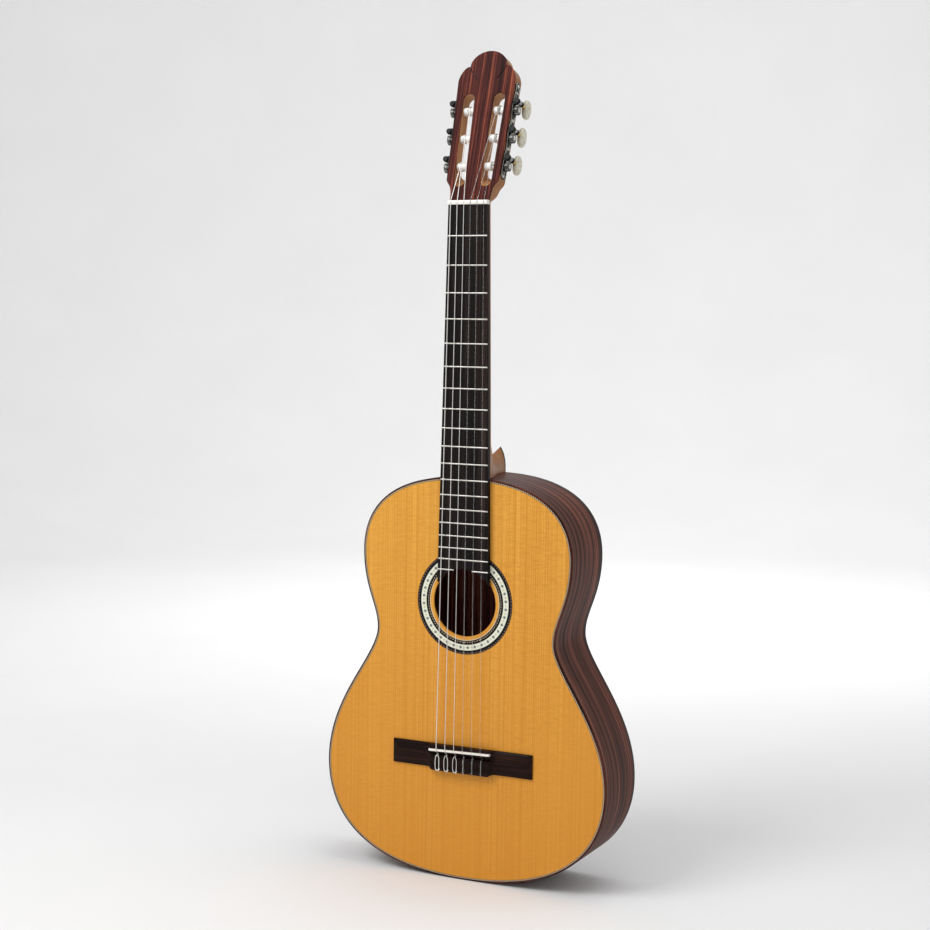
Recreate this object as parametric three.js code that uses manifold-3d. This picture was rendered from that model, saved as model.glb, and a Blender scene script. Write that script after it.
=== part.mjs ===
// Classical guitar, full size. Millimetres, +Z along the neck towards the head, the soundboard faces -Y,
// the bass strings are on the -X side. While it is built, y = 0 is the front of the soundboard and z = 0 the
// bottom of the body. The exported group moves the origin to the back of the neck at the nut.
import * as THREE from 'three';
import { mergeVertices } from 'three/addons/utils/BufferGeometryUtils.js';
import Module from 'manifold-3d';

const wasm = await Module();
wasm.setup();

// ---- Driving dimensions ----
const GAP = 0.3;                  // left between pieces that touch
const LAP = 0.1;                  // how far the parts of one solid run into each other
const SCALE = 650;                // nut to saddle, before compensation
// Planes that cutters reach to: beside the body, ahead of the bridge and the neck, just in front of the
// soundboard, halfway through the body, behind it, under it and above it.
const FULL = 250;
const AHEAD = -40;
const FRONT = -1;
const MIDDLE = 50;
const REAR = 120;
const UNDER = -20;
const ABOVE = 510;
const BODY = {
  length: 489.4, upper: 138.4, upperZ: 395.1, waist: 118.2, waistZ: 299.5, lower: 186.1, lowerZ: 127.4,
  depth: 95.7, depthTaper: 0.004, arch: 2.5, archFlat: 20, archSpan: 166,
  // How far the outline's curves are pulled along their end tangents.
  pulls: {
    top: 115.7, overUpper: 40.4, underUpper: 48.6, overWaist: 26.4, underWaist: 36.2, overLower: 80.4,
    underLower: 51.3, bottom: 157.3,
  },
};
const TOP = 2.6;                  // soundboard thickness
const SIDE = 2.3;                 // side thickness
const BACK = 2.8;                 // back thickness
const BINDING = { thick: 1.8, deep: 5.4 };
const PURFLING = { thick: 1.7, deep: 1.2 };
const LINING = { thick: 6, deep: 13 };
const SOUNDHOLE = { z: 339, r: 41.3 };
const ROUND = 48;                 // sides of the circles about the soundhole
const ROSETTE = { inner: 45.4, outer: 63, deep: 0.9 };
const NECK_BLOCK = { half: 30, low: 452 };
const TAIL_BLOCK = { half: 35, high: 22 };
const BAR = { half: 3.5, deep: 15.5, upperZ: 425, lowerZ: 284 };
const BACK_BRACE = { half: 4, deep: 14, upperZ: 400, middleZ: 250, lowerZ: 115 };
const STRIP = { half: 9, deep: 1.9, low: 24, high: 449 };
const FAN = {
  struts: 7, step: 24, turn: THREE.MathUtils.degToRad(3.2), long: 215, z: 156, half: 2.5, deep: 5.2,
};
const PATCH = { half: 95, low: 130, high: 170, deep: 2.1 };   // under the bridge
const NUT = { z: 811, long: 5, half: 25.6, top: -8.2 };
const BOARD = { top: -6, halfAtNut: 25.6, widen: 0.01862, end: 352 };
const FRET = { count: 19, wide: 1.9, high: 1.0, edge: 0.3, sunk: 0.6, short: 0.4 };
// The tie block runs out to the tail, past the lower edge of the bridge's wings.
const BRIDGE = {
  low: 135, high: 164, half: 92.75, wing: 3.8, wingEnd: 3.2, block: 9, blockHalf: 37.5, sweep: 10,
  pulls: [3, 4], tail: 132.5, tailHalf: 37, tailRoot: 42,
};
// The saddle slants, its treble end nearer to the frets.
const SADDLE = {
  z: 158.6, slant: THREE.MathUtils.degToRad(1.35), thick: 2.6, half: 40.5, top: -12, foot: -5.3,
};
const TIE = { top: 151.5, holeY: -5.2, holeRoom: 0.4, valleyHigh: 155.4 };
const VALLEY_HALF = 60;           // the cutter between tie block and saddle runs out past the block's ends
const NECK = { depthAtNut: 16.2, depthAtHeel: 17.5, foot: BODY.length + GAP };
const HEEL = {
  bendY: 58.8, bendZ: 564, bendDeep: 41.8, bendHigh: 54.5, flare: 0.35,
  rootY: 2, tipHalf: 7.3, rootHalf: 31, tipY: 93.7, cap: 2.2,
  narrowFrom: 10, narrowTo: 94, narrowing: 1.6, pointedFrom: 25, pointedTo: 85,
};
// A section's roundness: 1 is a half ellipse, and towards 0 it grows square.
const NECK_ROUND = 0.95;
const HEAD = {
  lean: THREE.MathUtils.degToRad(16.3), y: -2, z: 815.5, thick: 18.5, veneer: 2,
  foot: -6, straightLow: 28, straightHigh: 149, notch: [23.8, 168.8], top: 188,
  shoulder: [[25.9, 4], [26.8, 24], [33.6, 20]], earPulls: [[37.6, 159], [29, 170.5]],
  crownPulls: [[24.3, 177.5], [14.5, 188]],
};
// Where the head's section has turned from the neck's round one to a nearly square one.
const HEAD_SQUARE = {
  from: -2, to: 28, square: 0.03, half: 60, swell: 1.06, stations: [-6, 0, 7, 14, 21, 28, 200],
};
const CROWN_LINE = { wide: 1.2, deep: 0.9, route: [[25, 170.5], [19.5, 158.5], [12.2, 152.3]] };
const SLOT = { x: 16.6, half: 7.6, low: 18.4, high: 135.2, slope: 0.85, over: 5 };
const TUNER = {
  first: 45.6, pitch: 35, sideFace: 33.2, sideTilt: Math.atan2(3, 111),
  axisDeep: 8.5, wormUp: 9.5, wormX: 39.2,
};
const PLATE = { thick: 1.2, low: 30, high: 150, front: 2, back: 16.5 };
const ROLLER = { r: 5, journal: 3, pin: 2.4, pinLong: 5, room: 0.4 };
const MEET_X = [18.3, 16.8, 14.8];   // how far out a string meets its roller, from the nut's roller on
const STRING_R = [0.355, 0.405, 0.51, 0.37, 0.445, 0.545];   // string 1, the thinnest treble, to string 6
const STRING_STEP = { nut: 8.6, saddle: 11.7 };
const STRING_LOW = { nut: -7.6, saddle: SADDLE.top - GAP };  // the side of a string that faces the guitar

// ---- Materials ----
function paint(color, roughness, metalness = 0) {
  return new THREE.MeshStandardMaterial({ color, roughness, metalness });
}
const spruce = paint(0xd99a3c, 0.35);
const rosewood = paint(0x4a2a22, 0.3);
const reddish = paint(0x7a3b2c, 0.3);
const mahogany = paint(0xb08050, 0.4);
const paleWood = paint(0xc9a878, 0.6);
const ebony = paint(0x1e1a18, 0.5);
const bridgeWood = paint(0x2a1c18, 0.45);
const bone = paint(0xf2efe6, 0.3);
const inlay = paint(0xd8d2b8, 0.35);
const blackMetal = paint(0x151515, 0.35, 0.8);
const steel = paint(0xb8b8b8, 0.3, 1);
const pearl = paint(0xe6dfc8, 0.25);
const nylon = paint(0xd8d8d0, 0.2);
const wound = paint(0xc8c8c8, 0.35, 0.9);

// ---- Solids ----
// A closed geometry as a manifold solid, so that it can be joined and cut.
function solid(geometry) {
  const bare = geometry.clone();
  bare.deleteAttribute('normal');
  bare.deleteAttribute('uv');
  const merged = mergeVertices(bare, 1e-4);
  return new wasm.Manifold(new wasm.Mesh({
    numProp: 3,
    vertProperties: merged.attributes.position.array,
    triVerts: new Uint32Array(merged.index.array),
  }));
}

function geometryOf(made) {
  const { vertProperties, triVerts } = made.getMesh();
  const geometry = new THREE.BufferGeometry();
  geometry.setAttribute('position', new THREE.BufferAttribute(vertProperties, 3));
  geometry.setIndex(new THREE.BufferAttribute(triVerts, 1));
  geometry.computeVertexNormals();
  return geometry;
}

function union(solids) {
  return solids.reduce((all, next) => all.add(next));
}

// Moves every vertex: fn takes a vector and changes it.
function warp(geometry, fn) {
  const position = geometry.attributes.position;
  const v = new THREE.Vector3();
  for (let i = 0; i < position.count; i++) {
    v.fromBufferAttribute(position, i);
    fn(v);
    position.setXYZ(i, v.x, v.y, v.z);
  }
  return geometry;
}

// An outline of points (x, z), with holes, extruded from y0 to y1.
function slabGeometry(points, y0, y1, holes = []) {
  const shape = new THREE.Shape(points);
  shape.holes = holes.map((hole) => new THREE.Path(hole));
  const geometry = new THREE.ExtrudeGeometry(shape, { depth: y1 - y0, bevelEnabled: false });
  return geometry.rotateX(Math.PI / 2).translate(0, y1, 0);
}

function slab(points, y0, y1, holes) {
  return solid(slabGeometry(points, y0, y1, holes));
}

function boxGeometry(x0, x1, y0, y1, z0, z1) {
  const geometry = new THREE.BoxGeometry(x1 - x0, y1 - y0, z1 - z0);
  return geometry.translate((x0 + x1) / 2, (y0 + y1) / 2, (z0 + z1) / 2);
}

function box(...ends) {
  return solid(boxGeometry(...ends));
}

function circle(x, z, r, segments) {
  return Array.from({ length: segments }, (_, i) => {
    const a = (2 * Math.PI * i) / segments;
    return new THREE.Vector2(x + r * Math.cos(a), z + r * Math.sin(a));
  });
}

// A turned piece on the X axis, from a profile of [radius, x].
function turnedX(profile, segments) {
  const points = profile.map(([r, x]) => new THREE.Vector2(r, x));
  return new THREE.LatheGeometry(points, segments).rotateZ(-Math.PI / 2);
}

// A turned piece on the Y axis, from a profile of [radius, y].
function turnedY(profile, segments) {
  return new THREE.LatheGeometry(profile.map(([r, y]) => new THREE.Vector2(r, y)), segments);
}

function rod(r, length, segments) {
  return turnedX([[0, 0], [r, 0], [r, length], [0, length]], segments);
}

// ---- Body outline ----
// Four curves run down the +X half, from the top of the body to its bottom.
const V2 = (x, z) => new THREE.Vector2(x, z);
const { length, upper, upperZ, waist, waistZ, lower, lowerZ, pulls } = BODY;
const upright = (x, z, pull) => [V2(x, z + pull), V2(x, z)];
const halfCurves = [
  [V2(0, length), V2(pulls.top, length), ...upright(upper, upperZ, pulls.overUpper)],
  [...upright(upper, upperZ, -pulls.underUpper).reverse(), ...upright(waist, waistZ, pulls.overWaist)],
  [...upright(waist, waistZ, -pulls.underWaist).reverse(), ...upright(lower, lowerZ, pulls.overLower)],
  [...upright(lower, lowerZ, -pulls.underLower).reverse(), V2(pulls.bottom, 0), V2(0, 0)],
].map((corners) => new THREE.CubicBezierCurve(...corners));
const CURVE_STEPS = [10, 6, 9, 13];

// The body outline moved inwards by inset, as a closed anticlockwise loop.
function outline(inset) {
  const half = [];
  halfCurves.forEach((curve, c) => {
    const last = c === halfCurves.length - 1 ? 1 : 0;
    for (let i = 0; i < CURVE_STEPS[c] + last; i++) {
      const p = curve.getPoint(i / CURVE_STEPS[c]);
      const t = curve.getTangent(i / CURVE_STEPS[c]);
      half.push(V2(p.x + inset * t.y, p.y - inset * t.x));
    }
  });
  const mirrored = half.slice(1, -1).reverse().map((p) => V2(-p.x, p.y));
  return half.concat(mirrored).reverse();
}

function ring(outer, inner, y0, y1) {
  return slab(outline(outer), y0, y1, [outline(inner)]);
}

// The space between two surfaces that follow the arched, tapering back, deep and shallow mm in front of it.
function archLayer(deep, shallow) {
  const right = [BODY.archFlat, 70, 110, 150, 190];
  const xs = right.map((x) => -x).reverse().concat(right);
  const fall = (x) => Math.max(0, Math.abs(x) - BODY.archFlat) / BODY.archSpan;
  const rise = (x) => BODY.arch * (1 - Math.min(1, fall(x) ** 2));
  const rear = xs.map((x) => V2(x, BODY.depth + rise(x) - shallow));
  const front = xs.map((x) => V2(x, BODY.depth + rise(x) - deep)).reverse();
  const geometry = new THREE.ExtrudeGeometry(new THREE.Shape(rear.concat(front)), {
    depth: ABOVE - UNDER, bevelEnabled: false,
  });
  geometry.translate(0, 0, UNDER);
  return solid(warp(geometry, (v) => { v.y -= BODY.depthTaper * v.z; }));
}

const root = new THREE.Group();

function add(parent, name, shape, material) {
  const geometry = shape.isBufferGeometry ? shape : geometryOf(shape);
  const mesh = new THREE.Mesh(geometry, material);
  mesh.name = name;
  parent.add(mesh);
  return mesh;
}

// ---- Soundbox ----
const liningInset = SIDE + GAP;
const liningInner = liningInset + LINING.thick;
const underTop = TOP + GAP;
const purflingOuter = BINDING.thick + GAP;
const purflingInner = purflingOuter + PURFLING.thick;

function soundboard() {
  const shelf = PURFLING.deep + GAP;
  const upper = slab(outline(purflingInner + GAP), 0, shelf + LAP);
  const lower = slab(outline(purflingOuter), shelf, TOP);
  const hole = slab(circle(0, SOUNDHOLE.z, SOUNDHOLE.r, ROUND), FRONT, TOP + 1);
  const channel = slab(circle(0, SOUNDHOLE.z, ROSETTE.outer, ROUND), FRONT, ROSETTE.deep + GAP,
    [circle(0, SOUNDHOLE.z, ROSETTE.inner, ROUND)]);
  return upper.add(lower).subtract(hole).subtract(channel);
}

function sides() {
  const rim = ring(0, SIDE, BINDING.deep + GAP, REAR).intersect(archLayer(FULL, BINDING.deep + GAP));
  const half = (x0, x1) => rim.intersect(box(x0, x1, FRONT, REAR, UNDER, ABOVE));
  return [half(-FULL, -GAP / 2), half(GAP / 2, FULL)];
}

// The channels that the two linings need in a block or a bar.
function liningRoom() {
  const front = ring(SIDE, liningInner + GAP, FRONT, underTop + LINING.deep + GAP);
  const rear = ring(SIDE, liningInner + GAP, MIDDLE, REAR)
    .intersect(archLayer(BACK + GAP + LINING.deep + GAP, FRONT));
  return front.add(rear);
}

function endBlock(half, z0, z1) {
  return box(-half, half, underTop, REAR, z0, z1)
    .intersect(slab(outline(liningInset), FRONT, REAR))
    .intersect(archLayer(FULL, BACK + GAP))
    .subtract(liningRoom());
}

add(root, 'soundboard', soundboard(), spruce);
add(root, 'back', slab(outline(purflingOuter), MIDDLE, REAR).intersect(archLayer(BACK, 0)), rosewood);
const [sideBass, sideTreble] = sides();
add(root, 'side_bass', sideBass, rosewood);
add(root, 'side_treble', sideTreble, rosewood);
add(root, 'binding_top', ring(0, BINDING.thick, 0, BINDING.deep), reddish);
add(root, 'binding_back', ring(0, BINDING.thick, MIDDLE, REAR).intersect(archLayer(BINDING.deep, 0)), ebony);
add(root, 'purfling_top', ring(purflingOuter, purflingInner, 0, PURFLING.deep), inlay);
add(root, 'lining_top', ring(liningInset, liningInner, underTop, underTop + LINING.deep), paleWood);
add(root, 'lining_back', ring(liningInset, liningInner, MIDDLE, REAR)
  .intersect(archLayer(BACK + GAP + LINING.deep, BACK + GAP)), paleWood);
add(root, 'neck_block', endBlock(NECK_BLOCK.half, NECK_BLOCK.low, BODY.length), mahogany);
add(root, 'tail_block', endBlock(TAIL_BLOCK.half, 0, TAIL_BLOCK.high), mahogany);
add(root, 'rosette', slab(circle(0, SOUNDHOLE.z, ROSETTE.outer - GAP, ROUND), 0, ROSETTE.deep,
  [circle(0, SOUNDHOLE.z, ROSETTE.inner + GAP, ROUND)]), inlay);

// ---- Bracing ----
const inside = slab(outline(liningInner + GAP), FRONT, REAR);

function harmonicBar(z) {
  return box(-FULL, FULL, underTop, underTop + BAR.deep, z - BAR.half, z + BAR.half).intersect(inside);
}

function fanBracing() {
  const patch = box(-PATCH.half, PATCH.half, underTop, underTop + PATCH.deep, PATCH.low, PATCH.high);
  const struts = Array.from({ length: FAN.struts }, (_, i) => {
    const place = i - (FAN.struts - 1) / 2;
    const strut = new THREE.BoxGeometry(2 * FAN.half, FAN.deep, FAN.long);
    strut.rotateY(-place * FAN.turn).translate(place * FAN.step, underTop + FAN.deep / 2, FAN.z);
    return solid(strut).intersect(inside);
  });
  return union([patch, ...struts]);
}

const stripLayer = archLayer(BACK + GAP + STRIP.deep, BACK + GAP);
const stripRoom = box(-STRIP.half - GAP, STRIP.half + GAP, MIDDLE, REAR, 0, ABOVE)
  .intersect(archLayer(BACK + 2 * GAP + STRIP.deep, FRONT));

function backBrace(z) {
  return box(-FULL, FULL, MIDDLE, REAR, z - BACK_BRACE.half, z + BACK_BRACE.half)
    .intersect(archLayer(BACK + GAP + BACK_BRACE.deep, BACK + GAP))
    .intersect(inside)
    .subtract(stripRoom);
}

add(root, 'fan_bracing', fanBracing(), paleWood);
add(root, 'harmonic_bar_upper', harmonicBar(BAR.upperZ), paleWood);
add(root, 'harmonic_bar_lower', harmonicBar(BAR.lowerZ), paleWood);
add(root, 'back_brace_upper', backBrace(BACK_BRACE.upperZ), paleWood);
add(root, 'back_brace_middle', backBrace(BACK_BRACE.middleZ), paleWood);
add(root, 'back_brace_lower', backBrace(BACK_BRACE.lowerZ), paleWood);
add(root, 'back_centre_strip', box(-STRIP.half, STRIP.half, MIDDLE, REAR, STRIP.low, STRIP.high)
  .intersect(stripLayer), rosewood);

// ---- Strings: where each one runs ----
// String 1 is the outer treble and string 6 the outer bass; side is +1 on the treble side and -1 on the bass.
const stringSide = (n) => (n <= 3 ? 1 : -1);
const stringX = (n, step) => (3.5 - n) * step;
// Counted from the nut: strings 1 and 6 go to the nearest roller, 3 and 4 to the furthest.
const tunerPlace = (n) => (n <= 3 ? n - 1 : 6 - n);

// ---- Bridge and saddle ----
// A bar of the saddle's length and thickness, each grown by room, from y0 to y1.
function saddleBar(y0, y1, room = 0) {
  const half = SADDLE.half + room;
  const thick = SADDLE.thick / 2 + room;
  return boxGeometry(-half, half, y0, y1, -thick, thick).rotateY(-SADDLE.slant).translate(0, 0, SADDLE.z);
}

function bridge() {
  const { half, wing, wingEnd, block, blockHalf, sweep, pulls } = BRIDGE;
  const side = new THREE.CubicBezierCurve(V2(blockHalf + sweep, -wing), V2(blockHalf + pulls[0], -wing),
    V2(blockHalf + pulls[1], -block), V2(blockHalf, -block)).getPoints(6);
  const right = [V2(half, -GAP), V2(half, -wingEnd), ...side];
  const left = right.map((p) => V2(-p.x, p.y)).reverse();
  const blank = new THREE.ExtrudeGeometry(new THREE.Shape([...right, ...left]), {
    depth: BRIDGE.high - BRIDGE.tail, bevelEnabled: false,
  });
  const plan = [V2(half, BRIDGE.high), V2(-half, BRIDGE.high), V2(-half, BRIDGE.low),
    V2(-BRIDGE.tailRoot, BRIDGE.low), V2(-BRIDGE.tailHalf, BRIDGE.tail), V2(BRIDGE.tailHalf, BRIDGE.tail),
    V2(BRIDGE.tailRoot, BRIDGE.low), V2(half, BRIDGE.low)];
  const saddleSlot = solid(saddleBar(AHEAD, SADDLE.foot + GAP, GAP));
  const valley = box(-VALLEY_HALF, VALLEY_HALF, AHEAD, -wing, TIE.top, TIE.valleyHigh);
  const holes = STRING_R.map((r, i) => {
    const ends = new THREE.Shape(circle(stringX(i + 1, STRING_STEP.saddle), TIE.holeY, r + TIE.holeRoom, 8));
    const hole = new THREE.ExtrudeGeometry(ends, { depth: TIE.top - BRIDGE.tail + 2, bevelEnabled: false });
    return solid(hole.translate(0, 0, BRIDGE.tail - 1));
  });
  return solid(blank.translate(0, 0, BRIDGE.tail)).intersect(slab(plan, AHEAD, TOP))
    .subtract(union([saddleSlot, valley, ...holes]));
}

add(root, 'bridge', bridge(), bridgeWood);
add(root, 'saddle', solid(saddleBar(SADDLE.top, SADDLE.foot)), bone);

// ---- Fingerboard and nut ----
const boardHalf = (z) => BOARD.halfAtNut + BOARD.widen * (NUT.z - z);

function fingerboard() {
  const ends = [V2(boardHalf(BOARD.end), BOARD.end), V2(boardHalf(NUT.z), NUT.z),
    V2(-boardHalf(NUT.z), NUT.z), V2(-boardHalf(BOARD.end), BOARD.end)];
  const board = slab(ends, BOARD.top, -GAP);
  const frets = Array.from({ length: FRET.count }, (_, i) => {
    const z = NUT.z - SCALE * (1 - 2 ** (-(i + 1) / 12));
    const x = boardHalf(z) - FRET.short;
    const section = new THREE.Shape([V2(-FRET.wide / 2, FRET.sunk), V2(FRET.wide / 2, FRET.sunk),
      V2(FRET.wide / 2, -FRET.edge), V2(FRET.wide / 4, -FRET.high), V2(-FRET.wide / 4, -FRET.high),
      V2(-FRET.wide / 2, -FRET.edge)]);
    const wire = new THREE.ExtrudeGeometry(section, { depth: 2 * x, bevelEnabled: false });
    wire.rotateY(Math.PI / 2).translate(-x, BOARD.top, z);
    return solid(wire);
  });
  const hole = slab(circle(0, SOUNDHOLE.z, SOUNDHOLE.r + GAP, ROUND), AHEAD, TOP);
  return union([board, ...frets]).subtract(hole);
}

function nut() {
  const z0 = NUT.z + GAP;
  const z1 = NUT.z + NUT.long;
  const blank = box(-NUT.half, NUT.half, NUT.top, -GAP, z0, z1);
  const notches = STRING_R.map((r, i) => {
    const x = stringX(i + 1, STRING_STEP.nut);
    return box(x - r - GAP, x + r + GAP, NUT.top - 1, STRING_LOW.nut + GAP, z0 - 1, z1 + 1);
  });
  return blank.subtract(union(notches));
}

add(root, 'fingerboard', fingerboard(), ebony);
add(root, 'nut', nut(), bone);

// ---- Head frame ----
// In the head's own frame x is across, y is the depth behind its face and z runs up it from the nut.
const head = new THREE.Group();
head.position.set(0, HEAD.y, HEAD.z);
head.rotation.x = -HEAD.lean;
head.updateMatrix();
root.add(head);

// One group for each row of tuners. It turns with the head's tapering side, so in it the tuners are square.
function tunerRow(side) {
  const row = new THREE.Group();
  row.rotation.y = side * TUNER.sideTilt;
  row.updateMatrix();
  head.add(row);
  return row;
}
const trebleRow = tunerRow(1);
const bassRow = tunerRow(-1);
const rowOf = (side) => (side > 0 ? trebleRow : bassRow);
const tunerZ = (place) => TUNER.first + place * TUNER.pitch;

function headOutline() {
  const tilt = Math.tan(TUNER.sideTilt);
  const edge = (z) => TUNER.sideFace / Math.cos(TUNER.sideTilt) + tilt * z;
  const curve = (...corners) => new THREE.CubicBezierCurve(...corners.map(([x, z]) => V2(x, z)));
  const shoulder = curve(...HEAD.shoulder, [edge(HEAD.straightLow), HEAD.straightLow]);
  const ear = curve([edge(HEAD.straightHigh), HEAD.straightHigh], ...HEAD.earPulls, HEAD.notch);
  const crown = curve(HEAD.notch, ...HEAD.crownPulls, [0, HEAD.top]);
  const right = [V2(NUT.half, HEAD.foot), ...shoulder.getPoints(6), ...ear.getPoints(8),
    ...crown.getPoints(8).slice(1)];
  const left = right.slice(0, -1).map((p) => V2(-p.x, p.y)).reverse();
  return right.concat(left);
}

// The cutter for a slot with round ends, in the head's frame. Behind the veneer the slot's lower end slopes up
// towards the rollers, and so leaves a ramp under the strings.
function slotCutter(side) {
  const end = (z, turn) => Array.from({ length: 9 }, (_, i) => {
    const a = turn + (Math.PI * i) / 8;
    return V2(SLOT.half * Math.cos(a), z + SLOT.half * Math.sin(a));
  });
  const points = [...end(SLOT.high - SLOT.half, 0), ...end(SLOT.low + SLOT.half, Math.PI)];
  const front = slabGeometry(points, -SLOT.over, HEAD.veneer + GAP);
  const rear = warp(slabGeometry(points, HEAD.veneer, HEAD.thick + SLOT.over), (v) => {
    if (v.z < SLOT.low + SLOT.half + LAP) v.z += SLOT.slope * (v.y - HEAD.veneer);
  });
  return union([front, rear].map((part) => (
    solid(part.translate(side * SLOT.x, 0, 0).applyMatrix4(rowOf(side).matrix)))));
}

// Bores for the three rollers of one side: one from outside into the slot, one from the slot into the core.
function rollerBores(side) {
  const slotOuter = SLOT.x + SLOT.half;
  const slotInner = SLOT.x - SLOT.half;
  const bores = [];
  for (let place = 0; place < 3; place++) {
    const pinDeep = ROLLER.pinLong + GAP;
    const outer = rod(ROLLER.journal + ROLLER.room, 20, 10).translate(slotOuter - 1, 0, 0);
    const inner = rod(ROLLER.pin + ROLLER.room, pinDeep + 1, 8).translate(slotInner - pinDeep, 0, 0);
    [outer, inner].forEach((bore) => {
      bore.rotateY(side > 0 ? 0 : Math.PI).translate(0, TUNER.axisDeep, tunerZ(place));
      bores.push(solid(bore.applyMatrix4(rowOf(side).matrix)));
    });
  }
  return union(bores);
}

// ---- Neck, heel and head core, glued up as one piece ----
const HALF_STEPS = 12;

// Half of a unit circle, from (1, 0) over (0, 1) to (-1, 0), with exact zeros.
function halfRound(steps) {
  const clean = (value) => Number(value.toFixed(6));
  return Array.from({ length: steps + 1 }, (_, i) => {
    const a = (Math.PI * i) / steps;
    return V2(clean(Math.cos(a)), clean(Math.sin(a)));
  });
}

function neckShaft() {
  const section = halfRound(HALF_STEPS)
    .map((p) => V2(Math.sign(p.x) * Math.abs(p.x) ** NECK_ROUND, p.y ** NECK_ROUND));
  const top = HEAD.z + 0.5;
  const geometry = new THREE.ExtrudeGeometry(new THREE.Shape(section), {
    depth: top - NECK.foot, bevelEnabled: false,
  });
  return solid(warp(geometry.translate(0, 0, NECK.foot), (v) => {
    const down = (NUT.z - v.z) / (NUT.z - NECK.foot);
    v.x *= boardHalf(v.z) - LAP;
    v.y *= NECK.depthAtNut + down * (NECK.depthAtHeel - NECK.depthAtNut);
  }));
}

// The heel is stacked from arches that stand on the body. They follow an elliptical bend on the neck's side of
// it and then a straight flare, grow narrower towards the back and turn from round to pointed.
const bendEnd = Math.atan(HEEL.flare * HEEL.bendDeep / HEEL.bendHigh);
const flareY = HEEL.bendY + HEEL.bendDeep * Math.sin(bendEnd);
const archHalf = (y) => {
  const down = THREE.MathUtils.clamp((y - HEEL.narrowFrom) / (HEEL.narrowTo - HEEL.narrowFrom), 0, 1);
  return HEEL.tipHalf + (HEEL.rootHalf - HEEL.tipHalf) * (1 - down) ** HEEL.narrowing;
};
const archTop = (y) => {
  const across = THREE.MathUtils.clamp((y - HEEL.bendY) / HEEL.bendDeep, -1, Math.sin(bendEnd));
  return HEEL.bendZ - HEEL.bendHigh * Math.sqrt(1 - across ** 2) + HEEL.flare * Math.max(0, y - flareY);
};

function archPoint(v, y) {
  const pointed = THREE.MathUtils.smoothstep(y, HEEL.pointedFrom, HEEL.pointedTo);
  const sharp = Math.sign(v.x) * (1 - v.z ** 3);
  v.x = archHalf(y) * THREE.MathUtils.lerp(v.x, sharp, pointed);
  v.y = y;
  v.z = NECK.foot + v.z * (archTop(y) - NECK.foot);
}

function archGeometry(steps, rowY) {
  const half = new THREE.Shape(halfRound(HALF_STEPS));
  const geometry = new THREE.ExtrudeGeometry(half, { depth: steps, steps, bevelEnabled: false });
  geometry.rotateX(Math.PI / 2).translate(0, steps, 0);
  return warp(geometry, (v) => archPoint(v, rowY(Math.round(v.y))));
}

function heel() {
  const bendSteps = 9;
  const bend = Array.from({ length: bendSteps + 1 }, (_, i) => (
    HEEL.bendY - HEEL.bendDeep * Math.cos(((Math.PI / 2 + bendEnd) * i) / bendSteps)));
  const rows = [HEEL.rootY, ...bend, (flareY + HEEL.tipY) / 2, HEEL.tipY];
  return solid(archGeometry(rows.length - 1, (row) => rows[row]));
}

// The head's section: round at the back like the neck's where it starts, nearly square a little further up.
function headBlank() {
  const { stations, from, to, square, half, swell } = HEAD_SQUARE;
  const geometry = new THREE.ExtrudeGeometry(new THREE.Shape(halfRound(HALF_STEPS)), {
    depth: stations.length - 1, steps: stations.length - 1, bevelEnabled: false,
  });
  return solid(warp(geometry, (v) => {
    const z = stations[Math.round(v.z)];
    const share = THREE.MathUtils.smoothstep(z, from, to);
    const power = THREE.MathUtils.lerp(NECK_ROUND, square, share);
    v.x = THREE.MathUtils.lerp(NUT.half, half, share) * Math.sign(v.x) * Math.abs(v.x) ** power;
    v.y = HEAD.thick * THREE.MathUtils.lerp(1, swell, share) * v.y ** power;
    v.z = z;
  }));
}

function neck() {
  const square = slab(headOutline(), HEAD.veneer + GAP, HEAD.thick).intersect(headBlank());
  const core = geometryOf(square).applyMatrix4(head.matrix);
  const boardAndNut = box(-FULL, FULL, AHEAD, 0, BOARD.end, NUT.z + NUT.long + GAP);
  const cuts = [boardAndNut];
  [1, -1].forEach((side) => {
    [slotCutter(side), rollerBores(side)].forEach((cut) => (
      cuts.push(solid(geometryOf(cut).applyMatrix4(head.matrix)))));
  });
  return union([neckShaft(), heel(), solid(core)]).subtract(union(cuts));
}

function heelCap() {
  return archGeometry(1, (row) => HEEL.tipY + GAP + row * HEEL.cap);
}

// The face veneer has the head's outline, its slots and a carved line that runs in from each notch of the
// crown.
function headVeneer() {
  const face = slab(headOutline(), 0, HEAD.veneer);
  const groove = (side) => {
    const line = new THREE.QuadraticBezierCurve(...CROWN_LINE.route.map(([x, z]) => V2(x, z))).getPoints(6);
    const left = line.map((p) => V2(side * p.x - CROWN_LINE.wide / 2, p.y));
    const right = line.map((p) => V2(side * p.x + CROWN_LINE.wide / 2, p.y)).reverse();
    return slab(left.concat(right), FRONT, CROWN_LINE.deep);
  };
  const nutRoom = boxGeometry(-FULL, FULL, AHEAD, MIDDLE, NECK.foot, NUT.z + NUT.long + GAP);
  const cuts = [solid(nutRoom.applyMatrix4(head.matrix.clone().invert()))];
  [1, -1].forEach((side) => cuts.push(slotCutter(side), groove(side)));
  return face.subtract(union(cuts));
}

add(root, 'neck', neck(), mahogany);
add(root, 'heel_cap', heelCap(), rosewood);
add(head, 'head_veneer', headVeneer(), reddish);

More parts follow.
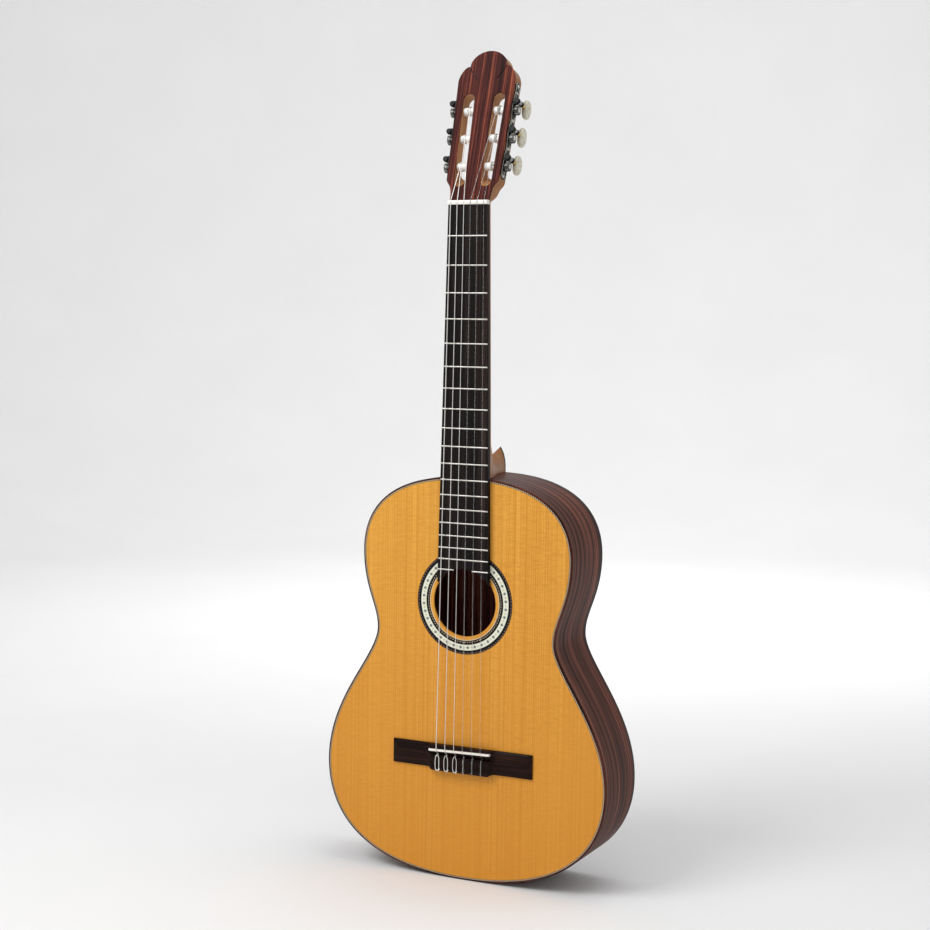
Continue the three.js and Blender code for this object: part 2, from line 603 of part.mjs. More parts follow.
// ---- Tuners ----
const WORM = {
  r: 3.1, low: 5.4, high: 12.2, shaft: 1.6, tip: 1.2, tipR: 3.2,
  collar: 15.4, collarR: 2.8, stem: 18.4, stemR: 1.9, end: 22.2,
};
const EAR = { r: 3.6, front: [3, 5], back: [12.6, 15] };
const GEAR = { r: 6.1, low: 36.6, high: 41, hubR: 4.2, screwR: 2.5, screwHigh: 42.2 };
const BUTTON = { centre: 31.2, long: 24, wide: 17.4, thick: 8, edge: 2 };
const plateLow = TUNER.sideFace + GAP;
const plateHigh = plateLow + PLATE.thick;

// One side plate with its three pairs of bearing ears, in its row's frame.
function tunerPlate(side) {
  const mid = (PLATE.front + PLATE.back) / 2;
  const half = (PLATE.back - PLATE.front) / 2;
  const end = (z, turn) => Array.from({ length: 7 }, (_, i) => {
    const a = turn + (Math.PI * i) / 6;
    return V2(mid + half * Math.cos(a), z + half * Math.sin(a));
  });
  const loop = [...end(PLATE.high - half, 0), ...end(PLATE.low + half, Math.PI)];
  const strip = new THREE.ExtrudeGeometry(new THREE.Shape(loop), { depth: PLATE.thick, bevelEnabled: false });
  // (y, z) in the shape's plane, thickness along x.
  strip.applyMatrix4(new THREE.Matrix4().makeBasis(new THREE.Vector3(0, 1, 0), new THREE.Vector3(0, 0, 1),
    new THREE.Vector3(1, 0, 0)));
  let made = solid(strip.translate(plateLow, 0, 0));
  for (let place = 0; place < 3; place++) {
    const z = tunerZ(place);
    const wormZ = z + TUNER.wormUp;
    const bore = rod(ROLLER.journal + ROLLER.room, 10, 10).translate(plateLow - 2, TUNER.axisDeep, z);
    made = made.subtract(solid(bore));
    [EAR.front, EAR.back].forEach(([y0, y1]) => {
      const web = box(plateHigh - 0.5, TUNER.wormX, y0, y1, wormZ - EAR.r, wormZ + EAR.r);
      const boss = turnedY([[0, y0], [EAR.r, y0], [EAR.r, y1], [0, y1]], 12).translate(TUNER.wormX, 0, wormZ);
      const boreR = WORM.shaft + GAP;
      const shaftBore = turnedY([[0, y0 - 1], [boreR, y0 - 1], [boreR, y1 + 1], [0, y1 + 1]], 8);
      made = made.add(web).add(solid(boss)).subtract(solid(shaftBore.translate(TUNER.wormX, 0, wormZ)));
    });
  }
  return side > 0 ? geometryOf(made) : mirrorX(geometryOf(made));
}

// The same solid on the other side of x = 0, with its faces still pointing out.
function mirrorX(geometry) {
  geometry.scale(-1, 1, 1);
  const index = geometry.index.array;
  for (let i = 0; i < index.length; i += 3) {
    [index[i + 1], index[i + 2]] = [index[i + 2], index[i + 1]];
  }
  geometry.computeVertexNormals();
  return geometry;
}

function wormShaft() {
  const { r, low, high, shaft, end, tip, tipR, collar, collarR, stem, stemR } = WORM;
  const tipEnd = EAR.front[0] - GAP;
  return turnedY([[0, tip], [tipR, tip], [tipR, tipEnd], [shaft, tipEnd], [shaft, low], [r, low], [r, high],
    [shaft, high], [shaft, collar], [collarR, collar], [stemR, stem], [stemR, end], [0, end]], 8);
}

// An oval knob, thickest at its middle, that lies in the plane of the side plate.
function button() {
  const { centre, long, wide, thick, edge } = BUTTON;
  const oval = Array.from({ length: 16 }, (_, i) => {
    const a = (2 * Math.PI * i) / 16;
    return V2((wide / 2 - edge) * Math.cos(a), (long / 2 - edge) * Math.sin(a));
  });
  const knob = new THREE.ExtrudeGeometry(new THREE.Shape(oval), {
    depth: thick - 2 * edge, bevelThickness: edge, bevelSize: edge, bevelSegments: 1,
  });
  knob.translate(0, 0, edge - thick / 2);
  knob.applyMatrix4(new THREE.Matrix4().makeBasis(new THREE.Vector3(0, 1, 0), new THREE.Vector3(0, 0, 1),
    new THREE.Vector3(1, 0, 0)));
  return knob.translate(0, centre, 0);
}

function gear() {
  const { r, low, high, hubR, screwR, screwHigh } = GEAR;
  const inner = plateHigh + 2 * GAP;
  return turnedX([[0, inner], [hubR, inner], [hubR, low], [r, low], [r, high], [screwR, high],
    [screwR, screwHigh], [0, screwHigh]], 12);
}

function roller() {
  const inner = SLOT.x - SLOT.half;
  const outer = SLOT.x + SLOT.half;
  const end = plateHigh + GAP;
  const { r, journal, pin, pinLong } = ROLLER;
  return turnedX([[0, inner - pinLong], [pin, inner - pinLong], [pin, inner + GAP], [r, inner + GAP],
    [r, outer - GAP], [journal, outer - GAP], [journal, end], [0, end]], 10);
}

add(bassRow, 'tuner_plate_bass', tunerPlate(-1), blackMetal);
add(trebleRow, 'tuner_plate_treble', tunerPlate(1), blackMetal);
for (let n = 1; n <= 6; n++) {
  const side = stringSide(n);
  const row = rowOf(side);
  const z = tunerZ(tunerPlace(n));
  const turn = side > 0 ? 0 : Math.PI;
  const across = add(row, `roller_${n}`, roller(), bone);
  const wheel = add(row, `gear_${n}`, gear(), steel);
  [across, wheel].forEach((mesh) => {
    mesh.position.set(0, TUNER.axisDeep, z);
    mesh.rotation.z = turn;
  });
  const worm = add(row, `worm_shaft_${n}`, wormShaft(), steel);
  const knob = add(row, `button_${n}`, button(), pearl);
  [worm, knob].forEach((mesh) => mesh.position.set(side * TUNER.wormX, 0, z + TUNER.wormUp));
}

// ---- Strings ----
// A straight tube of one step for each stretch of the route, whose rings are then moved on to the route.
function stringTube(r, route) {
  const ringShape = new THREE.Shape(circle(0, 0, r, 8));
  const steps = route.length - 1;
  const tube = new THREE.ExtrudeGeometry(ringShape, { depth: steps, steps, bevelEnabled: false });
  return warp(tube, (v) => {
    const at = route[Math.round(v.z)];
    v.set(v.x + at.x, v.y + at.y, at.z);
  });
}

// From the bridge's back, through the tie block, over the saddle and the nut and on to the roller's front.
function stringRoute(n) {
  const r = STRING_R[n - 1];
  const side = stringSide(n);
  const place = tunerPlace(n);
  const saddleX = stringX(n, STRING_STEP.saddle);
  const nutX = stringX(n, STRING_STEP.nut);
  const saddleEdge = SADDLE.thick / 2 + 0.2;
  const saddleZ = SADDLE.z + saddleX * Math.tan(SADDLE.slant);
  const rollerFront = TUNER.axisDeep - ROLLER.r - GAP;
  const onRoller = new THREE.Vector3(side * MEET_X[place], rollerFront - r, tunerZ(place));
  onRoller.applyMatrix4(rowOf(side).matrix).applyMatrix4(head.matrix);
  return [
    new THREE.Vector3(saddleX, TIE.holeY, BRIDGE.tail - 0.7),
    new THREE.Vector3(saddleX, TIE.holeY, TIE.top + 0.5),
    new THREE.Vector3(saddleX, STRING_LOW.saddle - r, saddleZ - saddleEdge),
    new THREE.Vector3(saddleX, STRING_LOW.saddle - r, saddleZ + saddleEdge),
    new THREE.Vector3(nutX, STRING_LOW.nut - r, NUT.z + GAP),
    new THREE.Vector3(nutX, STRING_LOW.nut - r, NUT.z + NUT.long + GAP),
    onRoller,
  ];
}

for (let n = 1; n <= 6; n++) {
  add(root, `string_${n}`, stringTube(STRING_R[n - 1], stringRoute(n)), n <= 3 ? nylon : wound);
}

// The origin is on the back of the neck, on its centre line, level with the nut's fingerboard side.
root.position.set(0, -NECK.depthAtNut, -NUT.z);
const guitar = new THREE.Group();
guitar.add(root);

export default guitar;
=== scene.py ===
# Classical guitar: the looks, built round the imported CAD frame.
#
# Sizes are millimetres of the design frame: y = 0 is the face of the soundboard and y grows into the body,
# z = 0 is the lower end of the body, x = 0 its centre line and the bass side is at -x. spot() turns such a
# point into metres of the row frame, whose origin is on the back of the neck at the nut.
import math
import random

import bmesh
import bpy
from mathutils import Matrix, Vector
from mathutils.geometry import tessellate_polygon


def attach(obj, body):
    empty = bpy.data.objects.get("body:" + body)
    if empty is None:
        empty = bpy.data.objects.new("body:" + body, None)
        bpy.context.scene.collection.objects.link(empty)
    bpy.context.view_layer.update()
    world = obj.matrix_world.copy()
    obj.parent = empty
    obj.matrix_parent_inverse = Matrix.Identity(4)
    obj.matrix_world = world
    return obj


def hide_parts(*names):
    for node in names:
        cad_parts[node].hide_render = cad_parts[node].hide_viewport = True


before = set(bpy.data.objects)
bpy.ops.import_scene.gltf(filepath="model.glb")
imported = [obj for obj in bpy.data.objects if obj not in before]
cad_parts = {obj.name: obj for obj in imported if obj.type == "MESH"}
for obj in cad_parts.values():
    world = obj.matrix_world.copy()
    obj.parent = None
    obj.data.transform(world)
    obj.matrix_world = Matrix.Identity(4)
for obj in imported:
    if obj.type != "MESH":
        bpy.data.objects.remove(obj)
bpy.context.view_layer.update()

# ---- Sizes ----
NECK_BACK = 16.2
NUT_Z = 811.0
SCALE_LENGTH = 650.0
BODY_LENGTH = 489.4
OUTLINE = (
    ((0, 489.4), (115.7, 489.4), (138.4, 435.5), (138.4, 395.1)),
    ((138.4, 395.1), (138.4, 346.5), (118.2, 325.9), (118.2, 299.5)),
    ((118.2, 299.5), (118.2, 263.3), (186.1, 207.8), (186.1, 127.4)),
    ((186.1, 127.4), (186.1, 76.1), (157.3, 0), (0, 0)),
)
DEPTH, TAPER, ARCH, ARCH_FLAT, ARCH_SPAN = 95.7, 0.004, 2.5, 20.0, 166.0
TOP_THICK, SIDE_THICK, BACK_THICK = 2.6, 2.3, 2.8
BINDING_THICK, BINDING_DEEP, BINDING_ROUND = 1.8, 5.4, 0.9
PURFLING_IN, PURFLING_DEEP = 3.7, 1.2
HOLE_Z, HOLE_R = 339.0, 41.3
ROSETTE_OUT, ROSETTE_IN, ROSETTE_DEEP, MOSAIC_OUT, MOSAIC_IN = 63.0, 45.4, 0.9, 58.05, 51.15
BOARD_TOP, BOARD_HALF, BOARD_WIDEN, BOARD_END = -6.0, 25.6, 0.01862, 352.0
FRETS, FRET_WIDE, FRET_HIGH = 19, 1.9, 1.0
BRIDGE_LOW, BRIDGE_HIGH, BRIDGE_HALF, WING, BLOCK = 135.0, 164.0, 92.75, 3.8, 9.0
BLOCK_HALF, BLOCK_SWEEP, TIE_TOP, VALLEY_TOP, TIE_HOLE = 37.5, 10.0, 151.5, 155.4, -5.2
BRIDGE_TAIL, TAIL_HALF, TAIL_ROOT = 132.5, 37.0, 42.0
SADDLE_Z, SADDLE_THICK, SADDLE_HALF, SADDLE_TOP, SADDLE_FOOT = 158.6, 2.6, 40.5, -12.0, -5.3
SADDLE_SLANT = math.tan(math.radians(1.35))
NUT_LONG, NUT_HALF, NUT_TOP, NUT_NOTCH = 5.0, 25.6, -8.2, -7.6
LEAN = math.radians(16.3)
HEAD_Y, HEAD_Z, HEAD_THICK, VENEER = -2.0, 815.5, 18.5, 2.0
SLOT_X, SLOT_HALF, SLOT_LOW, SLOT_HIGH, SLOT_SLOPE = 16.6, 7.6, 18.4, 135.2, 0.85
TUNER_FIRST, TUNER_PITCH, SIDE_FACE, AXIS_DEEP, WORM_UP, WORM_X = 45.6, 35.0, 33.2, 8.5, 9.5, 39.2
TILT = math.atan2(3, 111)
PLATE_THICK, PLATE_LOW, PLATE_HIGH, PLATE_FRONT, PLATE_BACK = 1.2, 30.0, 150.0, 2.0, 16.5
PLATE_WAIST, WAIST_AFTER, WAIST_LONG = 0.26, 22.5, 6.5
ROLLER_R, ROLLER_JOURNAL, ROLLER_PIN, BORE_PLAY = 5.0, 3.0, 2.4, 0.3
STRING_R = (0.355, 0.405, 0.51, 0.37, 0.445, 0.545)
NUT_STEP, SADDLE_STEP = 8.6, 11.7
ROLLER_X = (18.3, 16.8, 14.8)
NECK_ROUND, NECK_SWELL = 0.95, 1.3
HEEL_BEND_Y, HEEL_BEND_Z, HEEL_BEND_DEEP, HEEL_BEND_HIGH, HEEL_FLARE = 58.8, 564.0, 41.8, 54.5, 0.35
HEEL_ROOT_Y, HEEL_TIP_HALF, HEEL_ROOT_HALF, HEEL_TIP_Y, HEEL_CAP = 2.0, 7.3, 31.0, 93.7, 2.2
HEEL_NARROW_FROM, HEEL_NARROW_TO, HEEL_NARROWING, HEEL_POINTED = 10, 94, 1.6, (25, 85)
OVERHANG = 0.6                         # how far the fingerboard's end reaches over the edge of the soundhole
SIDEWAYS, AHEAD = 60, -40              # cutters reach this far out from the neck, and this far in front of it


def spot(x, y, z):
    return Vector((x, y - NECK_BACK, z - NUT_Z)) / 1000


HEAD = Matrix.Translation(spot(0, HEAD_Y, HEAD_Z)) @ Matrix.Rotation(-LEAN, 4, "X")


def row(side):
    """The frame of one row of tuners, side +1 for the treble: it turns with the head's tapering side."""
    return HEAD @ Matrix.Rotation(side * TILT, 4, "Y")


def lerp(a, b, t):
    return a + (b - a) * t


def span(first, last, steps):
    """Evenly spaced values from first to last."""
    return [first + (last - first) * i / steps for i in range(steps + 1)]


def clamp(value, low, high):
    return max(low, min(high, value))


def smoothstep(value, low, high):
    t = clamp((value - low) / (high - low), 0, 1)
    return t * t * (3 - 2 * t)


def power(value, exponent):
    return math.copysign(abs(value) ** exponent, value)


# ---- Camera, at the photograph's viewing angle ----
CAMERA_AT = (0.93082, -1.92815, -0.13247)
AZIMUTH, ELEVATION, ROLL = math.radians(26.003), math.radians(4.691), math.radians(0.794)


def make_camera():
    data = bpy.data.cameras.new("camera")
    data.sensor_width, data.lens = 36.0, 69.46
    data.clip_start, data.clip_end = 0.05, 100
    back = Vector((math.sin(AZIMUTH) * math.cos(ELEVATION), -math.cos(AZIMUTH) * math.cos(ELEVATION),
                   math.sin(ELEVATION)))
    right = (-back).cross(Vector((0, 0, 1))).normalized()
    up = right.cross(-back)
    c, s = math.cos(ROLL), math.sin(ROLL)
    turned = Matrix((c * right + s * up, c * up - s * right, back)).transposed()
    camera = bpy.data.objects.new("camera", data)
    camera.matrix_world = Matrix.Translation(CAMERA_AT) @ turned.to_4x4()
    bpy.context.scene.collection.objects.link(camera)
    bpy.context.scene.camera = camera


make_camera()


# ---- Mesh tools: a part is (points, faces) ----
class Build:
    """The parts of one piece, each face with the number of its material."""

    def __init__(self):
        self.points, self.faces, self.marks = [], [], []

    def add(self, part, mark=0, move=None):
        points, faces = part
        first = len(self.points)
        self.points += [move(*p) for p in points] if move else list(points)
        self.faces += [[first + i for i in face] for face in faces]
        self.marks += mark if isinstance(mark, list) else [mark] * len(faces)
        return self


def sheet(rows, closed=False):
    """Quads between rows of points of one length. A closed sheet's rows are loops."""
    wide = len(rows[0])
    faces = []
    for i in range(len(rows) - 1):
        for j in range(wide if closed else wide - 1):
            k = (j + 1) % wide
            faces.append((i * wide + j, i * wide + k, (i + 1) * wide + k, (i + 1) * wide + j))
    return [p for line in rows for p in line], faces


def loft(rings):
    """A closed solid through rings of points, with flat ends."""
    points, faces = sheet(rings, closed=True)
    wide = len(rings[0])
    faces.append(tuple(range(wide)))
    faces.append(tuple(range(len(points) - wide, len(points))))
    return points, faces


def slab(outer, low, high, holes=()):
    """An outline of points (x, z), with holes, as a solid from y = low to y = high."""
    loops = [outer, *holes]
    flat = [(x, z) for loop in loops for x, z in loop]
    triangles = tessellate_polygon([[Vector((x, z, 0)) for x, z in loop] for loop in loops])
    points = [(x, low, z) for x, z in flat] + [(x, high, z) for x, z in flat]
    faces = [tuple(t) for t in triangles] + [tuple(i + len(flat) for i in t) for t in triangles]
    start = 0
    for loop in loops:
        n = len(loop)
        faces += [(start + i, start + (i + 1) % n, len(flat) + start + (i + 1) % n, len(flat) + start + i)
                  for i in range(n)]
        start += n
    return points, faces


def between(top, base, base_mark=0):
    """A solid between two grids of points of one size."""
    build = Build().add(sheet(top)).add(sheet(base), base_mark)
    for edge in (0, -1):
        build.add(sheet([top[edge], base[edge]]))
        build.add(sheet([[line[edge] for line in top], [line[edge] for line in base]]))
    return build


def heightfield(xs, zs, height, floor=0.0):
    """A solid that stands on y = -floor, its top at y = -height(x, z)."""
    top = [[(x, -height(x, z), z) for z in zs] for x in xs]
    build = between(top, [[(x, -floor, z) for z in zs] for x in xs])
    return build.points, build.faces


def turned(profile, sides, axis="x", centre=(0, 0, 0)):
    """A turned solid from a profile of (radius, place along the axis) that starts and ends on the axis."""
    rings = []
    for radius, along in profile:
        ring = [(along, u, v) if axis == "x" else (u, along, v) for u, v in circle(0, 0, radius, sides)]
        rings.append([tuple(p[k] + centre[k] for k in range(3)) for p in ring])
    return sheet(rings, closed=True)


def tube(path, radius, sides):
    """A round solid along a path of points, its rings carried along without twist."""
    path = [Vector(p) for p in path]
    rings = []
    normal = None
    for i, p in enumerate(path):
        ahead = (path[min(i + 1, len(path) - 1)] - path[max(i - 1, 0)]).normalized()
        if normal is None:
            normal = ahead.orthogonal().normalized()
        normal = (normal - ahead * normal.dot(ahead)).normalized()
        other = ahead.cross(normal)
        rings.append([tuple(p + (normal * u + other * v) * radius) for u, v in circle(0, 0, 1, sides)])
    return loft(rings)


def smooth_path(points, steps):
    """A Catmull-Rom curve through the points."""
    points = [Vector(p) for p in points]
    ends = [2 * points[0] - points[1], *points, 2 * points[-1] - points[-2]]
    path = []
    for i in range(1, len(ends) - 2):
        a, b, c, d = ends[i - 1:i + 3]
        for k in range(steps):
            t = k / steps
            path.append(0.5 * (2 * b + (c - a) * t + (2 * a - 5 * b + 4 * c - d) * t * t
                               + (3 * b - a - 3 * c + d) * t ** 3))
    return path + [points[-1]]


def bezier(corners, t):
    u = 1 - t
    if len(corners) == 3:
        weights = (u * u, 2 * u * t, t * t)
    else:
        weights = (u ** 3, 3 * u * u * t, 3 * u * t * t, t ** 3)
    return tuple(sum(w * c[k] for w, c in zip(weights, corners)) for k in range(len(corners[0])))


def circle(x, z, r, sides, start=0.0, turn=2 * math.pi):
    angles = [start + turn * i / sides for i in range(sides)]
    return [(x + r * math.cos(a), z + r * math.sin(a)) for a in angles]


def raw_object(name, build, materials, to):
    """An object from a build, or from one part, carried into the row frame by a function or a matrix."""
    build = build if isinstance(build, Build) else Build().add(build)
    mesh = bpy.data.meshes.new(name)
    move = to if callable(to) else (lambda x, y, z: to @ (Vector((x, y, z)) / 1000))
    mesh.from_pydata([move(*p) for p in build.points], [], build.faces)
    for material in materials:
        mesh.materials.append(material)
    mesh.polygons.foreach_set("material_index", build.marks)
    bm = bmesh.new()
    bm.from_mesh(mesh)
    bmesh.ops.remove_doubles(bm, verts=bm.verts, dist=2e-7)
    bmesh.ops.dissolve_degenerate(bm, edges=bm.edges, dist=1e-7)
    bmesh.ops.recalc_face_normals(bm, faces=bm.faces)
    bm.to_mesh(mesh)
    bm.free()
    made = bpy.data.objects.new(name, mesh)
    bpy.context.scene.collection.objects.link(made)
    return made


def bake_modifiers(made):
    """Applies an object's modifiers to its mesh."""
    graph = bpy.context.evaluated_depsgraph_get()
    mesh = bpy.data.meshes.new_from_object(made.evaluated_get(graph))
    made.modifiers.clear()
    made.data = mesh


def combine(made, part, material, to, operation="DIFFERENCE"):
    """Cuts a piece with a part, or joins the two."""
    join(made, raw_object("tool", part, [material], to), operation)


def join(made, other, operation="UNION"):
    """Joins or cuts a piece with another object, which is used up."""
    modifier = made.modifiers.new("combine", "BOOLEAN")
    modifier.object, modifier.operation, modifier.solver = other, operation, "EXACT"
    bpy.context.view_layer.update()
    bake_modifiers(made)
    bpy.data.objects.remove(other)


def bevel(made, width, angle=40):
    modifier = made.modifiers.new("bevel", "BEVEL")
    modifier.width, modifier.segments = width / 1000, 2
    modifier.limit_method, modifier.angle_limit = "ANGLE", math.radians(angle)
    bpy.context.view_layer.update()
    bake_modifiers(made)


def hand_over(made, name, body="guitar", slot=None, smooth=32):
    """Shades a piece smooth except at its edges and lets it ride on its body. A piece with the name of a CAD
    node stands for that node."""
    stands_for = [name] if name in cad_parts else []
    made.data.shade_smooth()
    made.data.set_sharp_from_angle(angle=math.radians(smooth))
    made.modifiers.new("weighted", "WEIGHTED_NORMAL").keep_sharp = True
    bpy.context.view_layer.update()
    bake_modifiers(made)
    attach(made, body)
    if stands_for:
        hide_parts(*stands_for)
    return made


def piece(name, build, materials, to=spot, round_edges=0.0, **how):
    made = raw_object(name, build, materials, to)
    if round_edges:
        bevel(made, round_edges)
    return hand_over(made, name, **how)


# ---- Materials ----
class Paint:
    """A procedural material. Its points are the object's own, in metres of the row frame."""

    def __init__(self, name, rough=0.5, metal=0.0, **sockets):
        self.material = bpy.data.materials.new(name)
        self.material.use_nodes = True
        self.tree = self.material.node_tree
        self.shader = self.tree.nodes["Principled BSDF"]
        self.shader.inputs["Roughness"].default_value = rough
        self.shader.inputs["Metallic"].default_value = metal
        for socket, value in sockets.items():
            self.shader.inputs[socket.replace("_", " ")].default_value = value
        self.point = self.node("ShaderNodeTexCoord", "Object")

    def feed(self, value, socket):
        if isinstance(value, bpy.types.NodeSocket):
            self.tree.links.new(value, socket)
        else:
            socket.default_value = value

    def node(self, kind, output, inputs=None, **settings):
        """Adds a node with its settings, feeds its inputs and gives one of its outputs."""
        made = self.tree.nodes.new(kind)
        for key, value in settings.items():
            setattr(made, key, value)
        for key, value in (inputs or {}).items():
            self.feed(value, made.inputs[key])
        return made.outputs[output]

    def maths(self, operation, a, b=0.0):
        return self.node("ShaderNodeMath", 0, {0: a, 1: b}, operation=operation)

    def grain(self, wide, fine, fine_share):
        """Two noises in one: the finer one's share of it, and the rest of the wider one."""
        rest = self.maths("MULTIPLY", wide, 1 - fine_share)
        return self.maths("ADD", rest, self.maths("MULTIPLY", fine, fine_share))

    def apart(self):
        """The point's three coordinates."""
        return self.node("ShaderNodeSeparateXYZ", 0, {0: self.point}).node.outputs

    def mirrored(self):
        """The point with both halves alike, as in book-matched plates."""
        x, y, z = self.apart()
        return self.node("ShaderNodeCombineXYZ", 0, {0: self.maths("ABSOLUTE", x), 1: y, 2: z})

    def noise(self, stretch, detail=2.0, rough=0.5, twist=0.0, point=None):
        point = point or self.point
        scaled = self.node("ShaderNodeVectorMath", 0, {0: point, 1: stretch}, operation="MULTIPLY")
        return self.node("ShaderNodeTexNoise", "Fac", {"Vector": scaled, "Scale": 1.0, "Detail": detail,
                                                       "Roughness": rough, "Distortion": twist})

    def spread(self, value, low, high, to_low=0.0, to_high=1.0):
        return self.node("ShaderNodeMapRange", "Result", {"Value": value, "From Min": low, "From Max": high,
                                                          "To Min": to_low, "To Max": to_high})

    def ramp(self, value, *stops):
        colour = self.node("ShaderNodeValToRGB", "Color", {"Fac": value})
        elements = colour.node.color_ramp.elements
        while len(elements) < len(stops):
            elements.new(0.5)
        for element, (position, tone) in zip(elements, stops):
            element.position, element.color = position, (*tone, 1)
        return colour

    def blend(self, share, first, second):
        first, second = ((*tone, 1) if isinstance(tone, tuple) else tone for tone in (first, second))
        return self.node("ShaderNodeMix", 2, {0: share, 6: first, 7: second}, data_type="RGBA")

    def bumpy(self, height, strength, distance=0.0002):
        normal = self.node("ShaderNodeBump", "Normal",
                           {"Strength": strength, "Distance": distance, "Height": height})
        self.feed(normal, self.shader.inputs["Normal"])

    def done(self, colour, rough=None):
        self.feed(colour, self.shader.inputs["Base Color"])
        if rough is not None:
            self.feed(rough, self.shader.inputs["Roughness"])
        return self.material


def wood(name, tones, streaks, fibres, pores=None, mirrored=False, rough=0.32, shine=0.25,
         fine_share=0.4, pore_dark=0.45):
    """Wood whose streaks, fibres and pores are noise drawn out along the grain."""
    wear = 0.06
    paint = Paint(name, rough=rough, Specular_IOR_Level=shine)
    point = paint.mirrored() if mirrored else paint.point
    wide = paint.noise(streaks, detail=3.0, rough=0.6, twist=0.4, point=point)
    fine = paint.noise(fibres, detail=2.0, rough=0.6, point=point)
    colour = paint.ramp(paint.spread(paint.grain(wide, fine, fine_share), 0.33, 0.67), *tones)
    height = fine
    if pores:
        dash = paint.spread(paint.noise(pores, detail=1.0, point=point), 0.60, 0.68)
        colour = paint.blend(paint.maths("MULTIPLY", dash, pore_dark), colour, (0.008, 0.004, 0.003))
        height = paint.maths("SUBTRACT", fine, dash)
    paint.bumpy(height, 0.12)
    patches = paint.noise((9, 9, 9), detail=3.0)
    return paint.done(colour, paint.spread(patches, 0.3, 0.7, rough - wear, rough + wear))


def spruce_top():
    """Varnished spruce: fine lines along the grain, silk across it and a few darker streaks. It is painted a
    deeper orange towards its lower end: painted shade, for less light falling there than higher up."""
    paint = Paint("spruce_top", rough=0.38, Coat_Weight=0.05, Coat_Roughness=0.2, Specular_IOR_Level=0.22)
    point = paint.mirrored()
    lines = paint.noise((780, 40, 1.5), detail=3.0, rough=0.65, point=point)
    broad = paint.noise((34, 4, 0.7), detail=4.0, rough=0.7, point=point)
    silk = paint.noise((120, 40, 900), detail=2.0, rough=0.6, twist=0.3)
    cloud = paint.noise((6, 3, 4), detail=3.0)
    colour = paint.ramp(paint.spread(lines, 0.32, 0.68), (0.0, (0.62, 0.245, 0.021)),
                        (0.45, (0.77, 0.345, 0.044)), (1.0, (0.86, 0.435, 0.075)))
    colour = paint.blend(paint.spread(broad, 0.48, 0.72, 0.0, 0.30), colour, (0.56, 0.195, 0.014))
    colour = paint.blend(paint.spread(silk, 0.40, 0.70, 0.0, 0.55), colour, (0.55, 0.215, 0.020))
    colour = paint.blend(paint.spread(cloud, 0.35, 0.7, 0.0, 0.25), colour, (0.86, 0.43, 0.070))
    # Painted shade: the colour turns deeper orange towards the lower end of the top, where less light falls.
    painted_shade_lower_end = paint.spread(paint.apart()[2], -0.36, -0.76, 0.0, 0.6)
    colour = paint.blend(painted_shade_lower_end, colour, (0.64, 0.245, 0.018))
    paint.bumpy(lines, 0.10, 0.0001)
    return paint.done(colour, paint.spread(cloud, 0.3, 0.7, 0.31, 0.42))


def side_wood():
    """Rosewood whose stripes follow the bent sides: they lie one behind the other in the body's depth and
    wander slowly round it."""
    paint = Paint("rosewood_side", rough=0.4, Specular_IOR_Level=0.05)
    wide = paint.noise((2.6, 230, 2.6), detail=3.0, rough=0.66, twist=0.12)
    fine = paint.noise((6, 850, 6), detail=2.0, rough=0.6)
    colour = paint.ramp(paint.spread(paint.grain(wide, fine, 0.4), 0.36, 0.64), (0.0, (0.006, 0.002, 0.0018)),
                        (0.38, (0.050, 0.017, 0.011)), (0.7, (0.135, 0.044, 0.029)),
                        (1.0, (0.33, 0.095, 0.055)))
    dash = paint.spread(paint.noise((20, 2600, 20), detail=1.0), 0.60, 0.68)
    colour = paint.blend(paint.maths("MULTIPLY", dash, 0.5), colour, (0.008, 0.004, 0.003))
    paint.bumpy(paint.maths("SUBTRACT", fine, dash), 0.1)
    patches = paint.noise((8, 8, 8), detail=3.0)
    return paint.done(colour, paint.spread(patches, 0.3, 0.7, 0.34, 0.48))


def plain(name, colour, other, size=300.0, rough=0.35, metal=0.0, bump=0.05, **sockets):
    """A material that varies a little in colour, roughness and height over size features a metre."""
    paint = Paint(name, rough=rough, metal=metal, **sockets)
    cloud = paint.noise((size, size, size), detail=3.0, rough=0.55)
    paint.bumpy(cloud, bump, 0.0001)
    return paint.done(paint.blend(paint.spread(cloud, 0.35, 0.65), colour, other),
                      paint.spread(cloud, 0.3, 0.7, rough * 0.8, rough * 1.25))


def brushed(name, colour, other, stretch, rough=0.28):
    """Metal drawn or turned in one direction."""
    paint = Paint(name, rough=rough, metal=1.0)
    lines = paint.noise(stretch, detail=2.0)
    cloud = paint.noise((120, 120, 120), detail=3.0)
    paint.bumpy(lines, 0.08, 0.0001)
    return paint.done(paint.blend(paint.spread(cloud, 0.35, 0.7), colour, other),
                      paint.spread(lines, 0.3, 0.7, rough * 0.75, rough * 1.3))


def wound_string():
    """Silver wire wound on a core: fine ridges across the string."""
    paint = Paint("wound_string", rough=0.42, metal=1.0)
    ridges = paint.node("ShaderNodeTexWave", "Fac", {"Scale": 560.0, "Vector": paint.point},
                        bands_direction="Z")
    tarnish = paint.noise((40, 40, 14), detail=3.0)
    paint.bumpy(ridges, 0.5, 0.0001)
    return paint.done(paint.blend(paint.spread(tarnish, 0.35, 0.7), (0.96, 0.95, 0.93), (0.82, 0.80, 0.76)))


def pearl():
    """Cream plastic with the pale swirls of imitation pearl."""
    paint = Paint("pearl_button", rough=0.22, Coat_Weight=0.6, Coat_Roughness=0.08, Subsurface_Weight=0.15,
                  Subsurface_Scale=0.003)
    swirl = paint.noise((90, 90, 160), detail=4.0, rough=0.6, twist=2.2)
    colour = paint.ramp(paint.spread(swirl, 0.3, 0.7), (0.0, (0.46, 0.42, 0.31)), (0.5, (0.64, 0.60, 0.47)),
                        (1.0, (0.80, 0.77, 0.65)))
    paint.bumpy(swirl, 0.05, 0.0001)
    return paint.done(colour)


